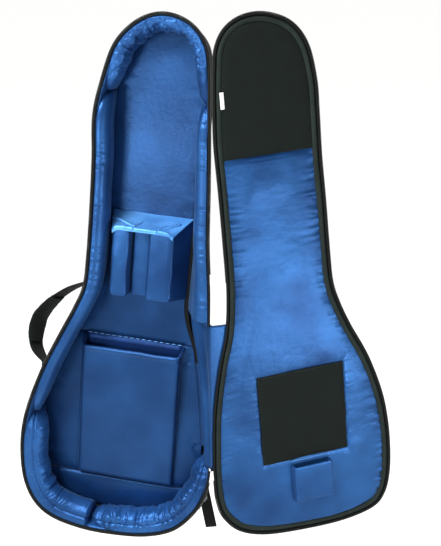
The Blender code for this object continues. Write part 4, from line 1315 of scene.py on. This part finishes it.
# ---- stage ----
def stage():
    floor_level = -0.6 - HANG_POINT.z
    bm = bmesh.new()
    bmesh.ops.create_grid(bm, x_segments=2, y_segments=2, size=300.0)
    mesh = bpy.data.meshes.new("studio_floor")
    bm.to_mesh(mesh)
    bm.free()
    ground = bpy.data.objects.new("studio_floor", mesh)
    ground.location = (0.0, 0.0, floor_level)
    bpy.context.scene.collection.objects.link(ground)
    n = Nodes("studio_floor")
    n.plug((0.94, 0.94, 0.93, 1.0), n.shader.inputs["Base Color"])
    n.plug(0.9, n.shader.inputs["Roughness"])
    mesh.materials.append(n.material)

    world = bpy.data.worlds.new("studio")
    world.use_nodes = True
    world.node_tree.nodes["Background"].inputs["Color"].default_value = (1.0, 1.0, 1.0, 1.0)
    world.node_tree.nodes["Background"].inputs["Strength"].default_value = 0.26
    bpy.context.scene.world = world
    middle = Vector((0.02, 0.0, 0.55)) - HANG_POINT
    sun = bpy.data.lights.new("sky_panel", "SUN")
    sun.energy, sun.angle = 2.7, math.radians(20.0)
    lamps = [(sun, (-0.2, -0.4, 2.2))]
    for name, offset, size, power in (("key", (-0.75, -1.05, 1.15), 0.45, 38.0),
                                      ("low_left", (-0.5, -0.95, 0.08), 0.25, 5.5),
                                      ("low_right", (1.05, -0.62, -0.42), 0.25, 7.5),
                                      ("back", (-0.4, 2.6, 1.2), 2.0, 30.0)):
        lamp = bpy.data.lights.new(name, "AREA")
        lamp.size, lamp.energy = size, power
        lamps.append((lamp, offset))
    for lamp, offset in lamps:
        obj = bpy.data.objects.new(lamp.name, lamp)
        obj.location = middle + Vector(offset)
        obj.rotation_euler = (middle - obj.location).to_track_quat("-Z", "Y").to_euler()
        bpy.context.scene.collection.objects.link(obj)


def camera():
    azimuth, elevation, distance = math.radians(11.0), math.radians(17.0), 2.175
    target = Vector((0.017, 0.0, 0.587)) - HANG_POINT
    flat = math.cos(elevation)
    away = Vector((math.sin(azimuth) * flat, -math.cos(azimuth) * flat, math.sin(elevation)))
    data = bpy.data.cameras.new("camera")
    data.lens, data.sensor_width = 75.5, 36.0
    obj = bpy.data.objects.new("camera", data)
    obj.location = target + away * distance
    obj.rotation_euler = (-away).to_track_quat("-Z", "Y").to_euler()
    bpy.context.scene.collection.objects.link(obj)
    bpy.context.scene.camera = obj
    bpy.context.scene.view_settings.view_transform = "Standard"


camera()
tray_shell()
back_panel()
rim_and_zip(TRAY, "tray", (HINGE_HEAD, HINGE_FOOT + COUNT), (29.4, 24.0 + COUNT),
            ("rim_binding_tray", "zip_coil_tray"))
wall_skin()
tray_padding()
floor()
neck_rest()
document_pocket()
lid_panel()
lid_border()
rim_and_zip(LID, "lid", (0.0, float(COUNT)), (HINGE_HEAD + 1.0, HINGE_FOOT + COUNT - 0.5),
            ("lid_binding", "zip_coil_lid"))
lid_lining()
bridge_patch()
accessory_pocket()
label()
hinge_web()
floor_edge_binding()
strap("near", (-0.083, 0.112, 0.85), (-0.098, 0.106, 0.125), 0.339, TAIL_LEAN)
strap("far", (-0.154, 0.112, 0.85), (-0.315, 0.106, 0.125), 0.15, 0.0)
back_details()
handle()
slider()
stage()
